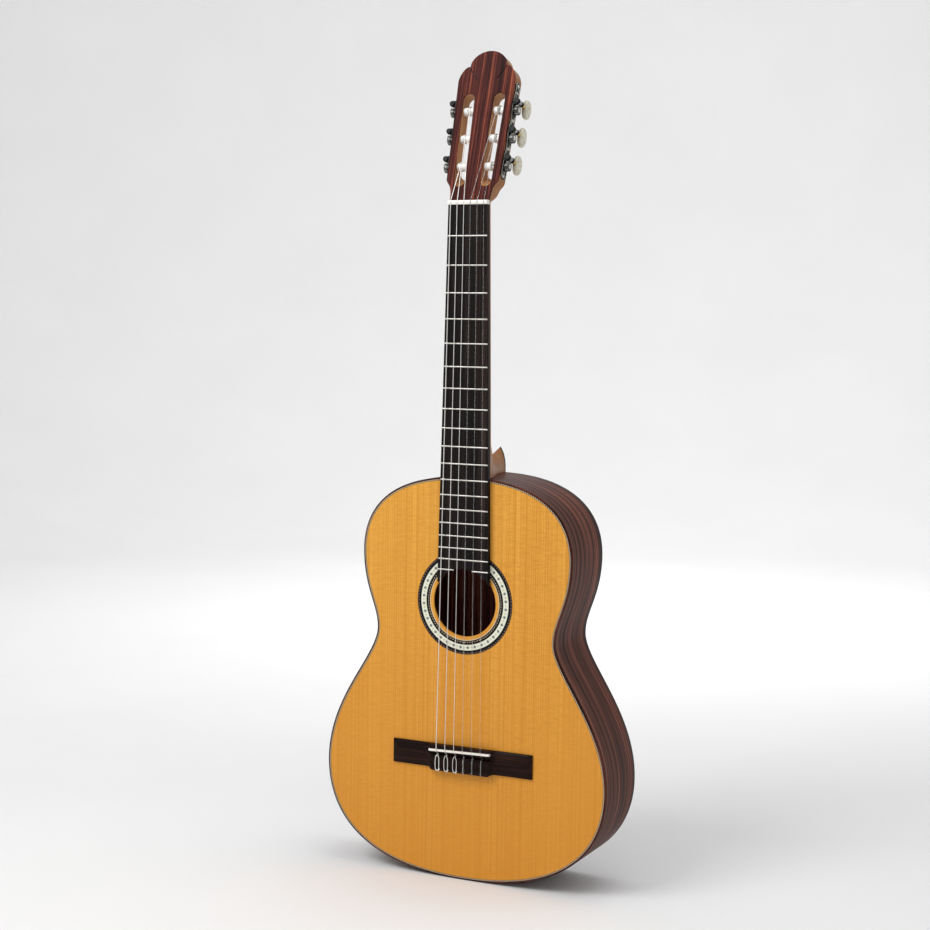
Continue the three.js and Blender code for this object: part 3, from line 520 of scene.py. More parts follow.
def engraved():
    """Blackened metal, with worn silver showing where the surface stands out."""
    paint = Paint("tuner_black", rough=0.34, metal=0.9)
    worn = paint.noise((420, 420, 420), detail=3.0, rough=0.7)
    paint.bumpy(worn, 0.25, 0.0002)
    colour = paint.ramp(paint.spread(worn, 0.42, 0.72), (0.0, (0.010, 0.009, 0.008)),
                        (0.7, (0.035, 0.032, 0.027)), (1.0, (0.34, 0.31, 0.23)))
    return paint.done(colour, paint.spread(worn, 0.3, 0.7, 0.26, 0.45))


SPRUCE = spruce_top()
SIDE_WOOD = side_wood()
BACK_WOOD = wood("rosewood_back", (
    (0.0, (0.014, 0.006, 0.005)), (0.4, (0.058, 0.023, 0.016)), (0.72, (0.11, 0.040, 0.027)),
    (1.0, (0.23, 0.075, 0.042))),
    (85, 60, 2.2), (1000, 700, 9), pores=(2600, 2600, 45), mirrored=True, shine=0.15)
INNER_WOOD = wood("rosewood_inside", (
    (0.0, (0.016, 0.005, 0.004)), (0.40, (0.085, 0.024, 0.018)), (0.72, (0.25, 0.070, 0.050)),
    (1.0, (0.50, 0.16, 0.105))),
    (150, 60, 2.2), (1000, 700, 9), mirrored=True, rough=0.6, shine=0.08)
HEAD_WOOD = wood("rosewood_head", (
    (0.0, (0.005, 0.002, 0.002)), (0.38, (0.042, 0.009, 0.008)), (0.70, (0.118, 0.025, 0.018)),
    (1.0, (0.37, 0.095, 0.045))),
    (360, 10, 2.6), (1300, 60, 9), pores=(2600, 300, 50), fine_share=0.36, rough=0.42, shine=0.04)
BINDING_WOOD = wood("binding_wood", (
    (0.0, (0.010, 0.003, 0.0025)), (0.5, (0.050, 0.014, 0.010)), (1.0, (0.17, 0.048, 0.030))),
    (9, 300, 9), (30, 1500, 30), rough=0.42, shine=0.03)
NECK_WOOD = wood("neck_wood", (
    (0.0, (0.23, 0.096, 0.036)), (0.5, (0.345, 0.153, 0.062)), (1.0, (0.45, 0.22, 0.10))),
    (60, 60, 3.5), (700, 700, 12), pores=(1900, 1900, 60), pore_dark=0.35, rough=0.38, shine=0.12)
SLOT_WOOD = wood("slot_wood", (
    (0.0, (0.30, 0.12, 0.030)), (0.5, (0.46, 0.21, 0.065)), (1.0, (0.62, 0.33, 0.13))),
    (60, 60, 6), (700, 700, 20), pores=(1900, 1900, 60), pore_dark=0.3, rough=0.45, shine=0.25)
PALE_WOOD = wood("pale_wood", (
    (0.0, (0.40, 0.27, 0.14)), (0.5, (0.52, 0.37, 0.21)), (1.0, (0.62, 0.46, 0.28))),
    (60, 40, 4), (600, 400, 12), rough=0.6)
BOARD_WOOD = wood("fingerboard_wood", (
    (0.0, (0.003, 0.0025, 0.0028)), (0.55, (0.0085, 0.006, 0.006)), (1.0, (0.046, 0.027, 0.021))),
    (240, 20, 2.2), (1300, 100, 9), pores=(2600, 300, 55), rough=0.45, shine=0.12)
BRIDGE_WOOD = wood("bridge_wood", (
    (0.0, (0.004, 0.0015, 0.0012)), (0.55, (0.013, 0.005, 0.0035)), (1.0, (0.042, 0.016, 0.010))),
    (4, 120, 130), (12, 900, 1100), pores=(60, 2400, 2400), rough=0.42, shine=0.08)
# Near-black: the real dark lines of the purfling, rosette, bindings and heel cap, and painted shade on the
# walls of the tie holes, string holes and head grooves.
DARK_LINE_AND_PAINTED_SHADE = plain("dark_line_and_painted_shade", (0.004, 0.003, 0.003), (0.010, 0.007, 0.007), rough=0.42,
                  Specular_IOR_Level=0.1)
CREAM_LINE = plain("cream_line", (0.70, 0.57, 0.38), (0.80, 0.68, 0.49), rough=0.32)
TAN_LINE = plain("tan_line", (0.36, 0.19, 0.11), (0.48, 0.28, 0.17), rough=0.3)
MOSAIC_CREAM = plain("mosaic_cream", (0.74, 0.75, 0.61), (0.83, 0.83, 0.70), size=900.0, rough=0.35)
MOSAIC_SLATE = plain("mosaic_slate", (0.022, 0.034, 0.045), (0.050, 0.068, 0.085), size=900.0, rough=0.35)
MOSAIC_STRAW = plain("mosaic_straw", (0.50, 0.46, 0.24), (0.62, 0.58, 0.34), size=900.0, rough=0.35)
ROPE_BROWN = plain("rope_brown", (0.22, 0.155, 0.125), (0.34, 0.25, 0.20), size=700.0, rough=0.35)
BONE = plain("bone", (0.90, 0.88, 0.83), (0.84, 0.81, 0.73), size=220.0, rough=0.28, Subsurface_Weight=0.1,
             Subsurface_Scale=0.002)
ROLLER_WHITE = plain("roller_white", (0.95, 0.945, 0.925), (0.91, 0.90, 0.87), size=260.0, rough=0.25)
NICKEL = brushed("nickel", (0.78, 0.76, 0.71), (0.66, 0.63, 0.57), (60, 900, 900))
FRET_METAL = brushed("fret_metal", (0.56, 0.545, 0.51), (0.42, 0.405, 0.37), (60, 900, 900), rough=0.3)
STEEL = brushed("steel", (0.50, 0.50, 0.49), (0.33, 0.32, 0.31), (700, 700, 700), rough=0.32)
GEAR_STEEL = brushed("gear_steel", (0.20, 0.195, 0.185), (0.09, 0.087, 0.082), (900, 900, 900), rough=0.3)
BRASS = brushed("brass", (0.66, 0.50, 0.20), (0.46, 0.33, 0.12), (700, 700, 700), rough=0.3)
BLACK_METAL = engraved()
BLACK_GLOSS = plain("black_gloss", (0.004, 0.004, 0.005), (0.009, 0.009, 0.010), rough=0.36,
                    Specular_IOR_Level=0.12)
PEARL = pearl()
WOUND = wound_string()
NYLON = plain("nylon", (0.93, 0.93, 0.90), (0.97, 0.97, 0.95), rough=0.06, bump=0.01,
              Transmission_Weight=0.93, IOR=1.53)


# ---- Body ----
def half_outline(steps):
    """Points of the +x half of the body, each as (distance from the top, x, z, direction into the body)."""
    points = [bezier(curve, i / steps) for curve in OUTLINE for i in range(steps)] + [(0.0, 0.0)]
    rows, run = [], 0.0
    for i, (x, z) in enumerate(points):
        before, after = points[max(i - 1, 0)], points[min(i + 1, len(points) - 1)]
        along = Vector((after[0] - before[0], after[1] - before[1])).normalized()
        if i:
            run += math.dist(points[i - 1], points[i])
        rows.append((run, x, z, along.y, -along.x))
    rows[0] = (*rows[0][:3], 0.0, -1.0)
    rows[-1] = (*rows[-1][:3], 0.0, 1.0)
    return rows


HALF = half_outline(400)
HALF_LONG = HALF[-1][0]


def half_at(run):
    """The point of the +x half at a distance from the top, with the direction into the body."""
    low, high = 0, len(HALF) - 1
    while high - low > 1:
        middle = (low + high) // 2
        low, high = (middle, high) if HALF[middle][0] <= run else (low, middle)
    a, b = HALF[low], HALF[high]
    t = (run - a[0]) / (b[0] - a[0])
    return tuple(lerp(a[k], b[k], t) for k in range(1, 5))


def round_body(share, inset):
    """The point a share of the way round the body, moved into it by inset."""
    run = (share % 1.0) * 2 * HALF_LONG
    x, z, nx, nz = half_at(min(run, 2 * HALF_LONG - run))
    side = 1 if run <= HALF_LONG else -1
    return side * (x + inset * nx), z + inset * nz


def body_loop(inset, count=360):
    return [round_body(k / count, inset) for k in range(count)]


def back_y(x, z):
    """The outer face of the arched, tapering back."""
    out = max(0.0, abs(x) - ARCH_FLAT) / ARCH_SPAN
    return DEPTH + ARCH * (1 - min(1.0, out * out)) - TAPER * z


def body_strip(profile, shares):
    """A strip round the body through a profile of (inset, depth, from_back), at shares of the way round."""
    rings = []
    for share in shares:
        ring = []
        for inset, depth, from_back in profile:
            x, z = round_body(share, inset)
            ring.append((x, back_y(x, z) - depth if from_back else depth, z))
        rings.append(ring)
    return rings


def closed_strip(profile, marks):
    """A strip all the way round the body. marks gives the material of each side of its profile."""
    count = 360
    rings = body_strip(profile, [k / count for k in range(count)])
    points, faces = sheet(rings + [rings[0]], closed=True)
    return Build().add((points, faces), marks * count)


def soundboard():
    hole = circle(0, HOLE_Z, HOLE_R, 160)
    channel_out, channel_in = circle(0, HOLE_Z, ROSETTE_OUT, 200), circle(0, HOLE_Z, ROSETTE_IN, 200)
    edge = body_loop(PURFLING_IN)
    build = Build().add(slab(edge, 0, TOP_THICK, [channel_out]))
    build.add(slab(channel_out, ROSETTE_DEEP, TOP_THICK, [channel_in]))
    build.add(slab(channel_in, 0, TOP_THICK, [hole]))
    piece("soundboard", build, [SPRUCE], slot="spruce_top")


def inlay(build, at, edges, count, mark, deep):
    """An inlaid band: edges are its rings from outside in, cut into count sectors. mark gives the material
    of a face by its band and sector."""
    plan = [[at(k / count, edge) for k in range(count)] for edge in edges]
    rings = [[(x, 0.0, z) for x, z in ring] for ring in plan]
    rings += [[(x, deep, z) for x, z in ring] for ring in (plan[-1], plan[0])]
    points, faces = sheet(rings + [rings[0]], closed=True)
    marks = [mark(i, k) if i < len(edges) - 1 else 0 for i in range(len(edges) + 2) for k in range(count)]
    build.add((points, faces), marks)


def purfling():
    """Slanted dark and light dashes between two thin dark lines."""
    edges = (BINDING_THICK, BINDING_THICK + 0.3, PURFLING_IN - 0.35, PURFLING_IN)
    count = 1000
    slant = (0.0, 0.3, 1.7, 2.0)

    def at(share, inset):
        return round_body(share + slant[edges.index(inset)] / count, inset)

    build = Build()
    inlay(build, at, edges, count, lambda band, k: 1 if band == 1 and k % 2 else 0, PURFLING_DEEP)
    piece("purfling_top", build, [DARK_LINE_AND_PAINTED_SHADE, CREAM_LINE], slot="purfling")


def rosette():
    """Two slanted rope bands between lines, and between them a mosaic of small tiles with plain figures."""
    def at(skew):
        def place(share, radius):
            a = 2 * math.pi * share + skew * radius
            return radius * math.cos(a), HOLE_Z + radius * math.sin(a)
        return place

    build = Build()
    dark, cream, slate, straw, brown, light = range(6)

    def line(outer, inner, mark=dark):
        inlay(build, at(0), (outer, inner), 240, lambda band, k: mark, ROSETTE_DEEP)

    def rope(outer, inner, strands, tones):
        """Two rows of strands that lean against each other."""
        middle, count = (outer + inner) / 2, 4 * strands
        inlay(build, at(0.02), (outer, middle), count, lambda band, k: tones[k % 4], ROSETTE_DEEP)
        inlay(build, at(-0.02), (middle, inner), count, lambda band, k: tones[(k + 2) % 4], ROSETTE_DEEP)

    line(ROSETTE_OUT, 62.5)
    rope(62.5, 60.7, 104, (brown, dark, dark, dark))
    line(60.7, MOSAIC_OUT)
    line(MOSAIC_IN, 48.9)
    rope(48.9, 47.5, 92, (light, dark, dark, dark))
    line(47.5, 46.2)
    line(46.2, ROSETTE_IN, light)

    rows, columns, motifs = 9, 12, 36

    def tile(band, k):
        up, along = abs(band - rows // 2), abs(k % columns - columns // 2)
        if 0 < up + along <= 2:
            return slate
        if up + (columns // 2 - along) <= 1:
            return straw
        return cream

    inlay(build, at(0), span(MOSAIC_OUT, MOSAIC_IN, rows), columns * motifs, tile, ROSETTE_DEEP)
    materials = [DARK_LINE_AND_PAINTED_SHADE, MOSAIC_CREAM, MOSAIC_SLATE, MOSAIC_STRAW, ROPE_BROWN, CREAM_LINE]
    piece("rosette", build, materials, slot="rosette_inlay")


def rounded_corner(from_back):
    """The rounded edge of a binding, from its face round to the side."""
    radius = BINDING_ROUND
    return [(radius - radius * math.sin(a), radius - radius * math.cos(a), from_back)
            for a in span(0, math.pi / 2, 4)]


def bindings():
    corner = rounded_corner(False)
    line, deep = 4.7, BINDING_DEEP + 0.3
    profile = [(BINDING_THICK, 0.0, False), *corner, (0.0, line, False), (0.0, line + 0.3, False),
               (0.0, deep, False), (BINDING_THICK, deep, False)]
    marks = [0] * (len(corner) + 1) + [1, 2, 0, 0]
    piece("binding_top", closed_strip(profile, marks), [BINDING_WOOD, TAN_LINE, DARK_LINE_AND_PAINTED_SHADE], slot="binding")
    corner = rounded_corner(True)
    profile = [(BINDING_THICK, 0.0, True), *corner, (0.0, BINDING_DEEP, True),
               (BINDING_THICK, BINDING_DEEP, True)]
    piece("binding_back", closed_strip(profile, [0] * len(profile)), [DARK_LINE_AND_PAINTED_SHADE], slot="dark_binding")


def sides():
    profile = [(0.0, BINDING_DEEP + 0.3, False), (0.0, BINDING_DEEP, True), (SIDE_THICK, BINDING_DEEP, True),
               (SIDE_THICK, BINDING_DEEP + 0.3, False)]
    for name, first, last in (("side_treble", 0.0, 0.5), ("side_bass", 0.5, 1.0)):
        shares = span(first, last, 180)
        shares[-1] -= 1e-9
        shares[0] += 1e-9
        piece(name, loft(body_strip(profile, shares)), [SIDE_WOOD], slot="rosewood")


def back():
    """The arched back: rows across the body, each as wide as the body is there."""
    rows = []
    for share in span(0, 1, 120):
        x, z = round_body(0.5 * lerp(0.0002, 0.9998, share), BINDING_THICK)
        across = [x * math.sin(math.pi / 2 * place) for place in span(-1, 1, 40)]
        rows.append([(u, back_y(u, z), z) for u in across])
    inner = [[(x, y - BACK_THICK, z) for x, y, z in row_points] for row_points in rows]
    piece("back", between(rows, inner, 1), [BACK_WOOD, INNER_WOOD], slot="rosewood")


# ---- Neck and head ----
def board_half(z):
    return BOARD_HALF + BOARD_WIDEN * (NUT_Z - z)


def half_round(steps):
    """Half of a unit circle from (1, 0) over (0, 1) to (-1, 0), with exact zeros."""
    return [(round(math.cos(a), 6), round(math.sin(a), 6)) for a in span(0, math.pi, steps)]


def neck_shaft():
    rings = []
    for z in (BODY_LENGTH, HEAD_Z + 0.5):
        deep = NECK_BACK + (NUT_Z - z) / (NUT_Z - BODY_LENGTH) * NECK_SWELL
        rings.append([((board_half(z) - 0.1) * power(x, NECK_ROUND), deep * y ** NECK_ROUND, z)
                      for x, y in half_round(40)])
    return loft(rings)


HEEL_BEND_END = math.atan(HEEL_FLARE * HEEL_BEND_DEEP / HEEL_BEND_HIGH)
HEEL_FLARE_Y = HEEL_BEND_Y + HEEL_BEND_DEEP * math.sin(HEEL_BEND_END)


def heel_arch(y):
    """One of the arches that the heel is stacked from: they follow an elliptical bend and then a straight
    flare, and turn from round to pointed."""
    down = clamp((y - HEEL_NARROW_FROM) / (HEEL_NARROW_TO - HEEL_NARROW_FROM), 0, 1)
    half = HEEL_TIP_HALF + (HEEL_ROOT_HALF - HEEL_TIP_HALF) * (1 - down) ** HEEL_NARROWING
    across = clamp((y - HEEL_BEND_Y) / HEEL_BEND_DEEP, -1, math.sin(HEEL_BEND_END))
    top = HEEL_BEND_Z - HEEL_BEND_HIGH * math.sqrt(1 - across ** 2) + HEEL_FLARE * max(0.0, y - HEEL_FLARE_Y)
    pointed = smoothstep(y, *HEEL_POINTED)
    return [(half * lerp(x, math.copysign(1 - up ** 3, x) if x else 0.0, pointed), y,
             BODY_LENGTH + up * (top - BODY_LENGTH)) for x, up in half_round(40)]


def heel():
    turns = span(0, math.pi / 2 + HEEL_BEND_END, 28)
    depths = [HEEL_ROOT_Y] + [HEEL_BEND_Y - HEEL_BEND_DEEP * math.cos(a) for a in turns]
    return loft([heel_arch(y) for y in depths + span(HEEL_FLARE_Y, HEEL_TIP_Y, 6)[1:]])


def head_blank():
    """Round at the back like the neck where it starts, and nearly square a little further up."""
    rings = []
    for z in [-6, -3, 0, 2, 4, 6, 8, 10, 12, 14, 16, 18, 20, 22, 24, 26, 28, 200]:
        square = smoothstep(z, -2, 28)
        bend = lerp(NECK_ROUND, 0.03, square)
        half, deep = lerp(NUT_HALF, SIDEWAYS, square), HEAD_THICK * lerp(1, 1.06, square)
        rings.append([(half * power(x, bend), deep * y ** bend, z) for x, y in half_round(40)])
    return loft(rings)


def head_edge(z):
    return SIDE_FACE / math.cos(TILT) + math.tan(TILT) * z


def head_outline():
    shoulder = ((25.9, 4), (26.8, 24), (33.6, 20), (head_edge(28), 28))
    ear = ((head_edge(149), 149), (37.6, 159), (29, 170.5), (23.8, 168.8))
    crown = ((23.8, 168.8), (24.3, 177.5), (14.5, 188), (0, 188))
    right = [(25.6, -6)]
    for curve, steps, skip in ((shoulder, 18, 0), (ear, 20, 0), (crown, 22, 1)):
        right += [bezier(curve, i / steps) for i in range(skip, steps + 1)]
    return right + [(-x, z) for x, z in reversed(right[:-1])]


def slot_outline(side, climb=0.0):
    """A slot with round ends, turned with its row of tuners. climb lifts its lower end."""
    half, low = SLOT_HALF, SLOT_LOW + SLOT_HALF + climb
    loop = circle(0, SLOT_HIGH - half, half, 20, 0, math.pi) + [(-half, SLOT_HIGH - half)]
    loop += circle(0, low, half, 20, math.pi, math.pi) + [(half, low)]
    c, s = math.cos(side * TILT), math.sin(side * TILT)
    return [((x + side * SLOT_X) * c + z * s, z * c - (x + side * SLOT_X) * s) for x, z in loop]


def slot_cutter(side):
    """A slot through the head, whose lower end slopes up to the rollers, a ramp under the strings."""
    front, rear = VENEER - 0.5, HEAD_THICK + 5
    points, faces = slab(slot_outline(side), front, rear)
    raised = slot_outline(side, SLOT_SLOPE * (rear - front))
    return points[:len(raised)] + [(x, rear, z) for x, z in raised], faces


def wide_strip(low):
    """The outline of a cutter that reaches from z = low up to the far side of the nut."""
    high = NUT_Z + NUT_LONG
    return [(-SIDEWAYS, low), (SIDEWAYS, low), (SIDEWAYS, high), (-SIDEWAYS, high)]


def neck():
    made = raw_object("neck", neck_shaft(), [NECK_WOOD, SLOT_WOOD], spot)
    core = raw_object("core", slab(head_outline(), VENEER, HEAD_THICK), [NECK_WOOD], HEAD)
    combine(core, head_blank(), NECK_WOOD, HEAD, "INTERSECT")
    combine(made, heel(), NECK_WOOD, spot, "UNION")
    join(made, core)
    for side in (1, -1):
        combine(made, slot_cutter(side), SLOT_WOOD, HEAD)
    combine(made, slab(wide_strip(400), AHEAD, 0), NECK_WOOD, spot)
    for side in (1, -1):
        bores = Build()
        for place in range(3):
            for radius, first, last in ((ROLLER_JOURNAL, 22.0, 45.0), (ROLLER_PIN, 3.5, 11.0)):
                ends = sorted((side * first, side * last))
                wide = radius + BORE_PLAY
                profile = [(0, ends[0]), (wide, ends[0]), (wide, ends[1]), (0, ends[1])]
                bores.add(turned(profile, 20, centre=(0, AXIS_DEEP, tuner_z(place))))
        combine(made, bores, SLOT_WOOD, row(side))
    hand_over(made, "neck", slot="neck_wood", smooth=28)


def heel_cap():
    low, high = HEEL_TIP_Y, HEEL_TIP_Y + HEEL_CAP + 0.3
    piece("heel_cap", loft([heel_arch(low), heel_arch(high)]), [DARK_LINE_AND_PAINTED_SHADE], round_edges=0.35, slot="rosewood")


def head_veneer():
    loops = [slot_outline(1), slot_outline(-1)]
    made = raw_object("head_veneer", slab(head_outline(), 0, VENEER, loops), [HEAD_WOOD, DARK_LINE_AND_PAINTED_SHADE], HEAD)
    # Curved grooves across the crown, their walls painted near-black: painted shade in the grooves.
    for side in (1, -1):
        corners = ((side * 25, 0, 170.5), (side * 19.5, 0, 158.5), (side * 12.2, 0, 152.3))
        combine(made, tube([bezier(corners, t) for t in span(0, 1, 12)], 0.85, 4), DARK_LINE_AND_PAINTED_SHADE, HEAD)
    combine(made, slab(wide_strip(700), AHEAD, -AHEAD), HEAD_WOOD, spot)
    bevel(made, 0.3, angle=50)
    hand_over(made, "head_veneer", slot="head_rosewood")


# ---- Fingerboard, frets and nut ----
def fret_z(number):
    return NUT_Z - SCALE_LENGTH * (1 - 2 ** (-number / 12))


def hole_half(z, r):
    return math.sqrt(max(0.0, r * r - (z - HOLE_Z) ** 2))


def fingerboard():
    outer = [(board_half(NUT_Z), NUT_Z), (-board_half(NUT_Z), NUT_Z)] + board_side_arc(HOLE_R - OVERHANG)
    piece("fingerboard", slab(outer, BOARD_TOP, 0), [BOARD_WOOD], round_edges=0.35, slot="fingerboard_wood")


def board_side_arc(r):
    """The end of the board, from its bass side along a circle about the soundhole to its treble side."""
    z = BOARD_END
    while hole_half(z, r) > board_half(z):
        z += 0.05
    a = math.atan2(z - HOLE_Z, hole_half(z, r))
    return [(r * math.cos(t), HOLE_Z + r * math.sin(t)) for t in span(math.pi - a, a, 60)]


def frets():
    section = [(-1, 0.0), (-0.97, 0.35), (-0.75, 0.72), (-0.4, 0.94), (0, 1.0), (0.4, 0.94), (0.75, 0.72),
               (0.97, 0.35), (1, 0.0)]
    sunk, quarter = BOARD_TOP + 0.5, FRET_WIDE / 4
    for number in range(1, FRETS + 1):
        z = fret_z(number)
        half = board_half(z) - 0.35
        build = Build()
        opening = hole_half(z, HOLE_R - OVERHANG)
        spans = [(-half, half)] if opening == 0 else [(-half, -opening), (opening, half)]
        for low, high in spans:
            rings = []
            for x, lift in ((low, 0.25), (low + 0.35, 0.75), (low + 0.9, 1.0), (high - 0.9, 1.0),
                            (high - 0.35, 0.75), (high, 0.25)):
                ring = [(x, BOARD_TOP - FRET_HIGH * lift * up, z + across * FRET_WIDE / 2)
                        for across, up in section]
                rings.append(ring + [(x, sunk, z + quarter), (x, sunk, z - quarter)])
            build.add(loft(rings))
        piece(f"fret_{number:02d}", build, [FRET_METAL])


def string_side(n):
    return 1 if n <= 3 else -1


def string_x(n, step):
    return (3.5 - n) * step


def tuner_place(n):
    """Counted from the nut: strings 1 and 6 go to the nearest roller, 3 and 4 to the furthest."""
    return n - 1 if n <= 3 else 6 - n


def tuner_z(place):
    return TUNER_FIRST + place * TUNER_PITCH


def nut():
    notches = {string_x(n, NUT_STEP): STRING_R[n - 1] for n in range(1, 7)}
    xs = {-NUT_HALF, -NUT_HALF + 0.5, NUT_HALF - 0.5, NUT_HALF}
    for x, r in notches.items():
        xs |= {x - r - 0.25, x - r - 0.05, x - r * 0.5, x, x + r * 0.5, x + r + 0.05, x + r + 0.25}
    zs = [NUT_Z + NUT_LONG * t for t in (0, 0.04, 0.12, 0.3, 0.5, 0.7, 0.88, 0.96, 1)]

    def height(x, z):
        share = (z - NUT_Z) / NUT_LONG
        front_edge, rear_edge, end_edge = 0.5, 0.9, 0.4
        edge = (front_edge * (max(0.0, 0.12 - share) / 0.12) ** 2
                + rear_edge * (max(0.0, share - 0.5) / 0.5) ** 2)
        for at, r in notches.items():
            if abs(x - at) <= r + 0.06:
                return min(-NUT_TOP - edge, -NUT_NOTCH)
        return -NUT_TOP - edge - (end_edge if abs(x) > NUT_HALF - 0.1 else 0.0)

    piece("nut", heightfield(sorted(xs), zs, height), [BONE], slot="bone")


# ---- Bridge and saddle ----
def bridge():
    long_edge, tip_edge, rear_round, front_from, tail_to = 2.3, 2.1, 1.2, 161.2, 138
    end_curve = [bezier(((BLOCK_HALF + BLOCK_SWEEP, WING), (BLOCK_HALF + 3, WING), (BLOCK_HALF + 4, BLOCK),
                         (BLOCK_HALF, BLOCK)), i / 12) for i in range(13)]

    def block_height(x):
        x = abs(x)
        if x <= BLOCK_HALF:
            return BLOCK
        for (x0, h0), (x1, h1) in zip(end_curve, end_curve[1:]):
            if x1 <= x <= x0:
                return lerp(h1, h0, (x - x1) / max(x0 - x1, 1e-6))
        return 0.0

    def to_plan(x, y, z):
        """Draws the lower edge out under the tie block, and slants the saddle's slot."""
        out = (BRIDGE_LOW - BRIDGE_TAIL) * clamp((TAIL_ROOT - abs(x)) / (TAIL_ROOT - TAIL_HALF), 0, 1)
        slant = SADDLE_SLANT * clamp(x, -SADDLE_HALF - 1, SADDLE_HALF + 1)
        near_slot = min(clamp((z - VALLEY_TOP) / 1.6, 0, 1), clamp((BRIDGE_HIGH - z) / 3.6, 0, 1))
        return x, y, z - out * clamp((tail_to - z) / (tail_to - BRIDGE_LOW), 0, 1) + slant * near_slot

    def height(x, z):
        from_edge = min(z - BRIDGE_LOW, BRIDGE_HIGH - z)
        wing = min(WING, long_edge + 0.5 * from_edge, tip_edge + 0.26 * (BRIDGE_HALF - abs(x)))
        rear = max(0.0, 1 - (z - BRIDGE_LOW) / rear_round) ** 2
        front = 0.33 * max(0.0, z - front_from)
        block = block_height(x) - (rear + front)
        if TIE_TOP < z < VALLEY_TOP:
            block = min(block, WING + 0.2)
        if abs(z - SADDLE_Z) < SADDLE_THICK / 2 + 0.02 and abs(x) < SADDLE_HALF + 0.05:
            block = min(block, -SADDLE_FOOT)
        return max(wing, block)

    zs = [135, 135.2, 135.6, 136.2, 138, 142, 146, 150, 151.0, 151.5, 151.54, 153.4, 155.36, 155.4, 156.2,
          157.26, 157.3, 159.9, 159.94, 160.4, 161.2, 162, 163, 163.7, 164]
    right = [0.01, 8, 16, 24, 32, TAIL_HALF, BLOCK_HALF, TAIL_ROOT] + [x for x, _ in reversed(end_curve[:-1])]
    right += [SADDLE_HALF + 0.04, SADDLE_HALF + 0.08, 53, 60, 70, 80, 84, 86.2, 88, 90, 91.5, 92.4,
              BRIDGE_HALF]
    xs = sorted({-x for x in right} | set(right))
    build = Build().add(heightfield(xs, zs, height), move=to_plan)
    made = raw_object("bridge", build, [BRIDGE_WOOD, DARK_LINE_AND_PAINTED_SHADE], spot)
    # The tie holes' walls are painted near-black: painted shade inside the holes.
    holes = Build()
    for n in range(1, 7):
        x, r = string_x(n, SADDLE_STEP), STRING_R[n - 1] + 0.35
        holes.add(loft([[(u, v, z) for u, v in circle(x, TIE_HOLE, r, 14)] for z in (130, TIE_TOP + 1)]))
    combine(made, holes, DARK_LINE_AND_PAINTED_SHADE, spot)
    hand_over(made, "bridge", slot="bridge_wood")


def saddle():
    zs = [SADDLE_Z + SADDLE_THICK / 2 * t for t in (-1, -0.96, -0.8, -0.5, 0, 0.5, 0.8, 0.96, 1)]
    xs = [SADDLE_HALF * t for t in (-1, -0.997, -0.985, -0.96, -0.5, 0, 0.5, 0.96, 0.985, 0.997, 1)]

    def height(x, z):
        across = abs(z - SADDLE_Z) / (SADDLE_THICK / 2)
        end = max(0.0, abs(x) / SADDLE_HALF - 0.96) / 0.04
        round_top, round_end = 1.1, 1.3
        return -SADDLE_TOP - round_top * (1 - math.sqrt(max(0.0, 1 - across ** 2))) - round_end * end ** 2

    build = Build().add(heightfield(xs, zs, height, floor=-SADDLE_FOOT),
                        move=lambda x, y, z: (x, y, z + SADDLE_SLANT * x))
    piece("saddle", build, [BONE], slot="bone")


# ---- Tuners ----
def round_axis(x, radius, a, z):
    """A point round the axis of the roller at z, in the frame of its row."""
    return x, AXIS_DEEP + radius * math.cos(a), z + radius * math.sin(a)


PLATE_X = SIDE_FACE + PLATE_THICK


def flipped(side):
    """Mirrors a part made for the treble row when it is for the bass row."""
    return lambda x, y, z: (side * x, y, z)


def plate_edge(z):
    """Half the plate's height at a place along it: round ends, drawn in a little between the tuners."""
    middle = (PLATE_BACK - PLATE_FRONT) / 2
    from_end = min(z - PLATE_LOW, PLATE_HIGH - z)
    rounded = math.sqrt(max(0.0, middle ** 2 - (middle - min(from_end, middle)) ** 2))
    waist = max(math.exp(-((z - tuner_z(place) - WAIST_AFTER) / WAIST_LONG) ** 2) for place in range(3))
    return rounded * (1 - PLATE_WAIST * waist)


def scroll(z, turn, size):
    """A plain leaf-like scroll on the plate, as a path."""
    middle = (PLATE_FRONT + PLATE_BACK) / 2
    path = []
    for t in span(0, 1, 32):
        r = size * (1 - 0.82 * t)
        a = turn * (0.4 + 4.4 * t)
        path.append((PLATE_X + 0.1, middle + r * math.sin(a), z + turn * (r * math.cos(a) - size * 0.2)))
    return path


def tuner_plate(side):
    middle = (PLATE_FRONT + PLATE_BACK) / 2
    stations = [lerp(PLATE_LOW, PLATE_HIGH, (1 - math.cos(a)) / 2) for a in span(0, math.pi, 120)]
    loop = [(middle + plate_edge(z), z) for z in stations]
    loop += [(middle - plate_edge(z), z) for z in reversed(stations[1:-1])]
    holes = [circle(AXIS_DEEP, tuner_z(place), ROLLER_JOURNAL + BORE_PLAY, 24) for place in range(3)]
    points, faces = slab(loop, SIDE_FACE, PLATE_X, holes)
    name = "tuner_plate_treble" if side > 0 else "tuner_plate_bass"
    flip = flipped(side)
    made = raw_object(name, ([flip(x, y, z) for y, x, z in points], faces), [BLACK_METAL, NICKEL], row(side))
    bevel(made, 0.25)
    hand_over(made, name, slot="black_metal")
    for place in range(3):
        ears(side, place, name)
    ornament = Build()
    for z, turn, size in ((35.5, -1, 4.6), (69.5, 1, 4.4), (66, -1, 4.4), (104.5, 1, 4.4), (101, -1, 4.4),
                          (139.5, 1, 4.8), (135, -1, 4.0)):
        ornament.add(tube(scroll(z, turn, size), 0.42, 6), move=flip)
    for edge in (1, -1):
        rim = [(PLATE_X + 0.02, middle + edge * (plate_edge(z) - 1.0), z) for z in stations[6:-6]]
        ornament.add(tube(rim, 0.3, 6), move=flip)
    piece(name + "_scrolls", ornament, [NICKEL], to=row(side))
    for number, z in enumerate((34.0, 67.8, 102.8, 145.5)):
        screw(f"{name}_screw_{number}", side, middle, z)


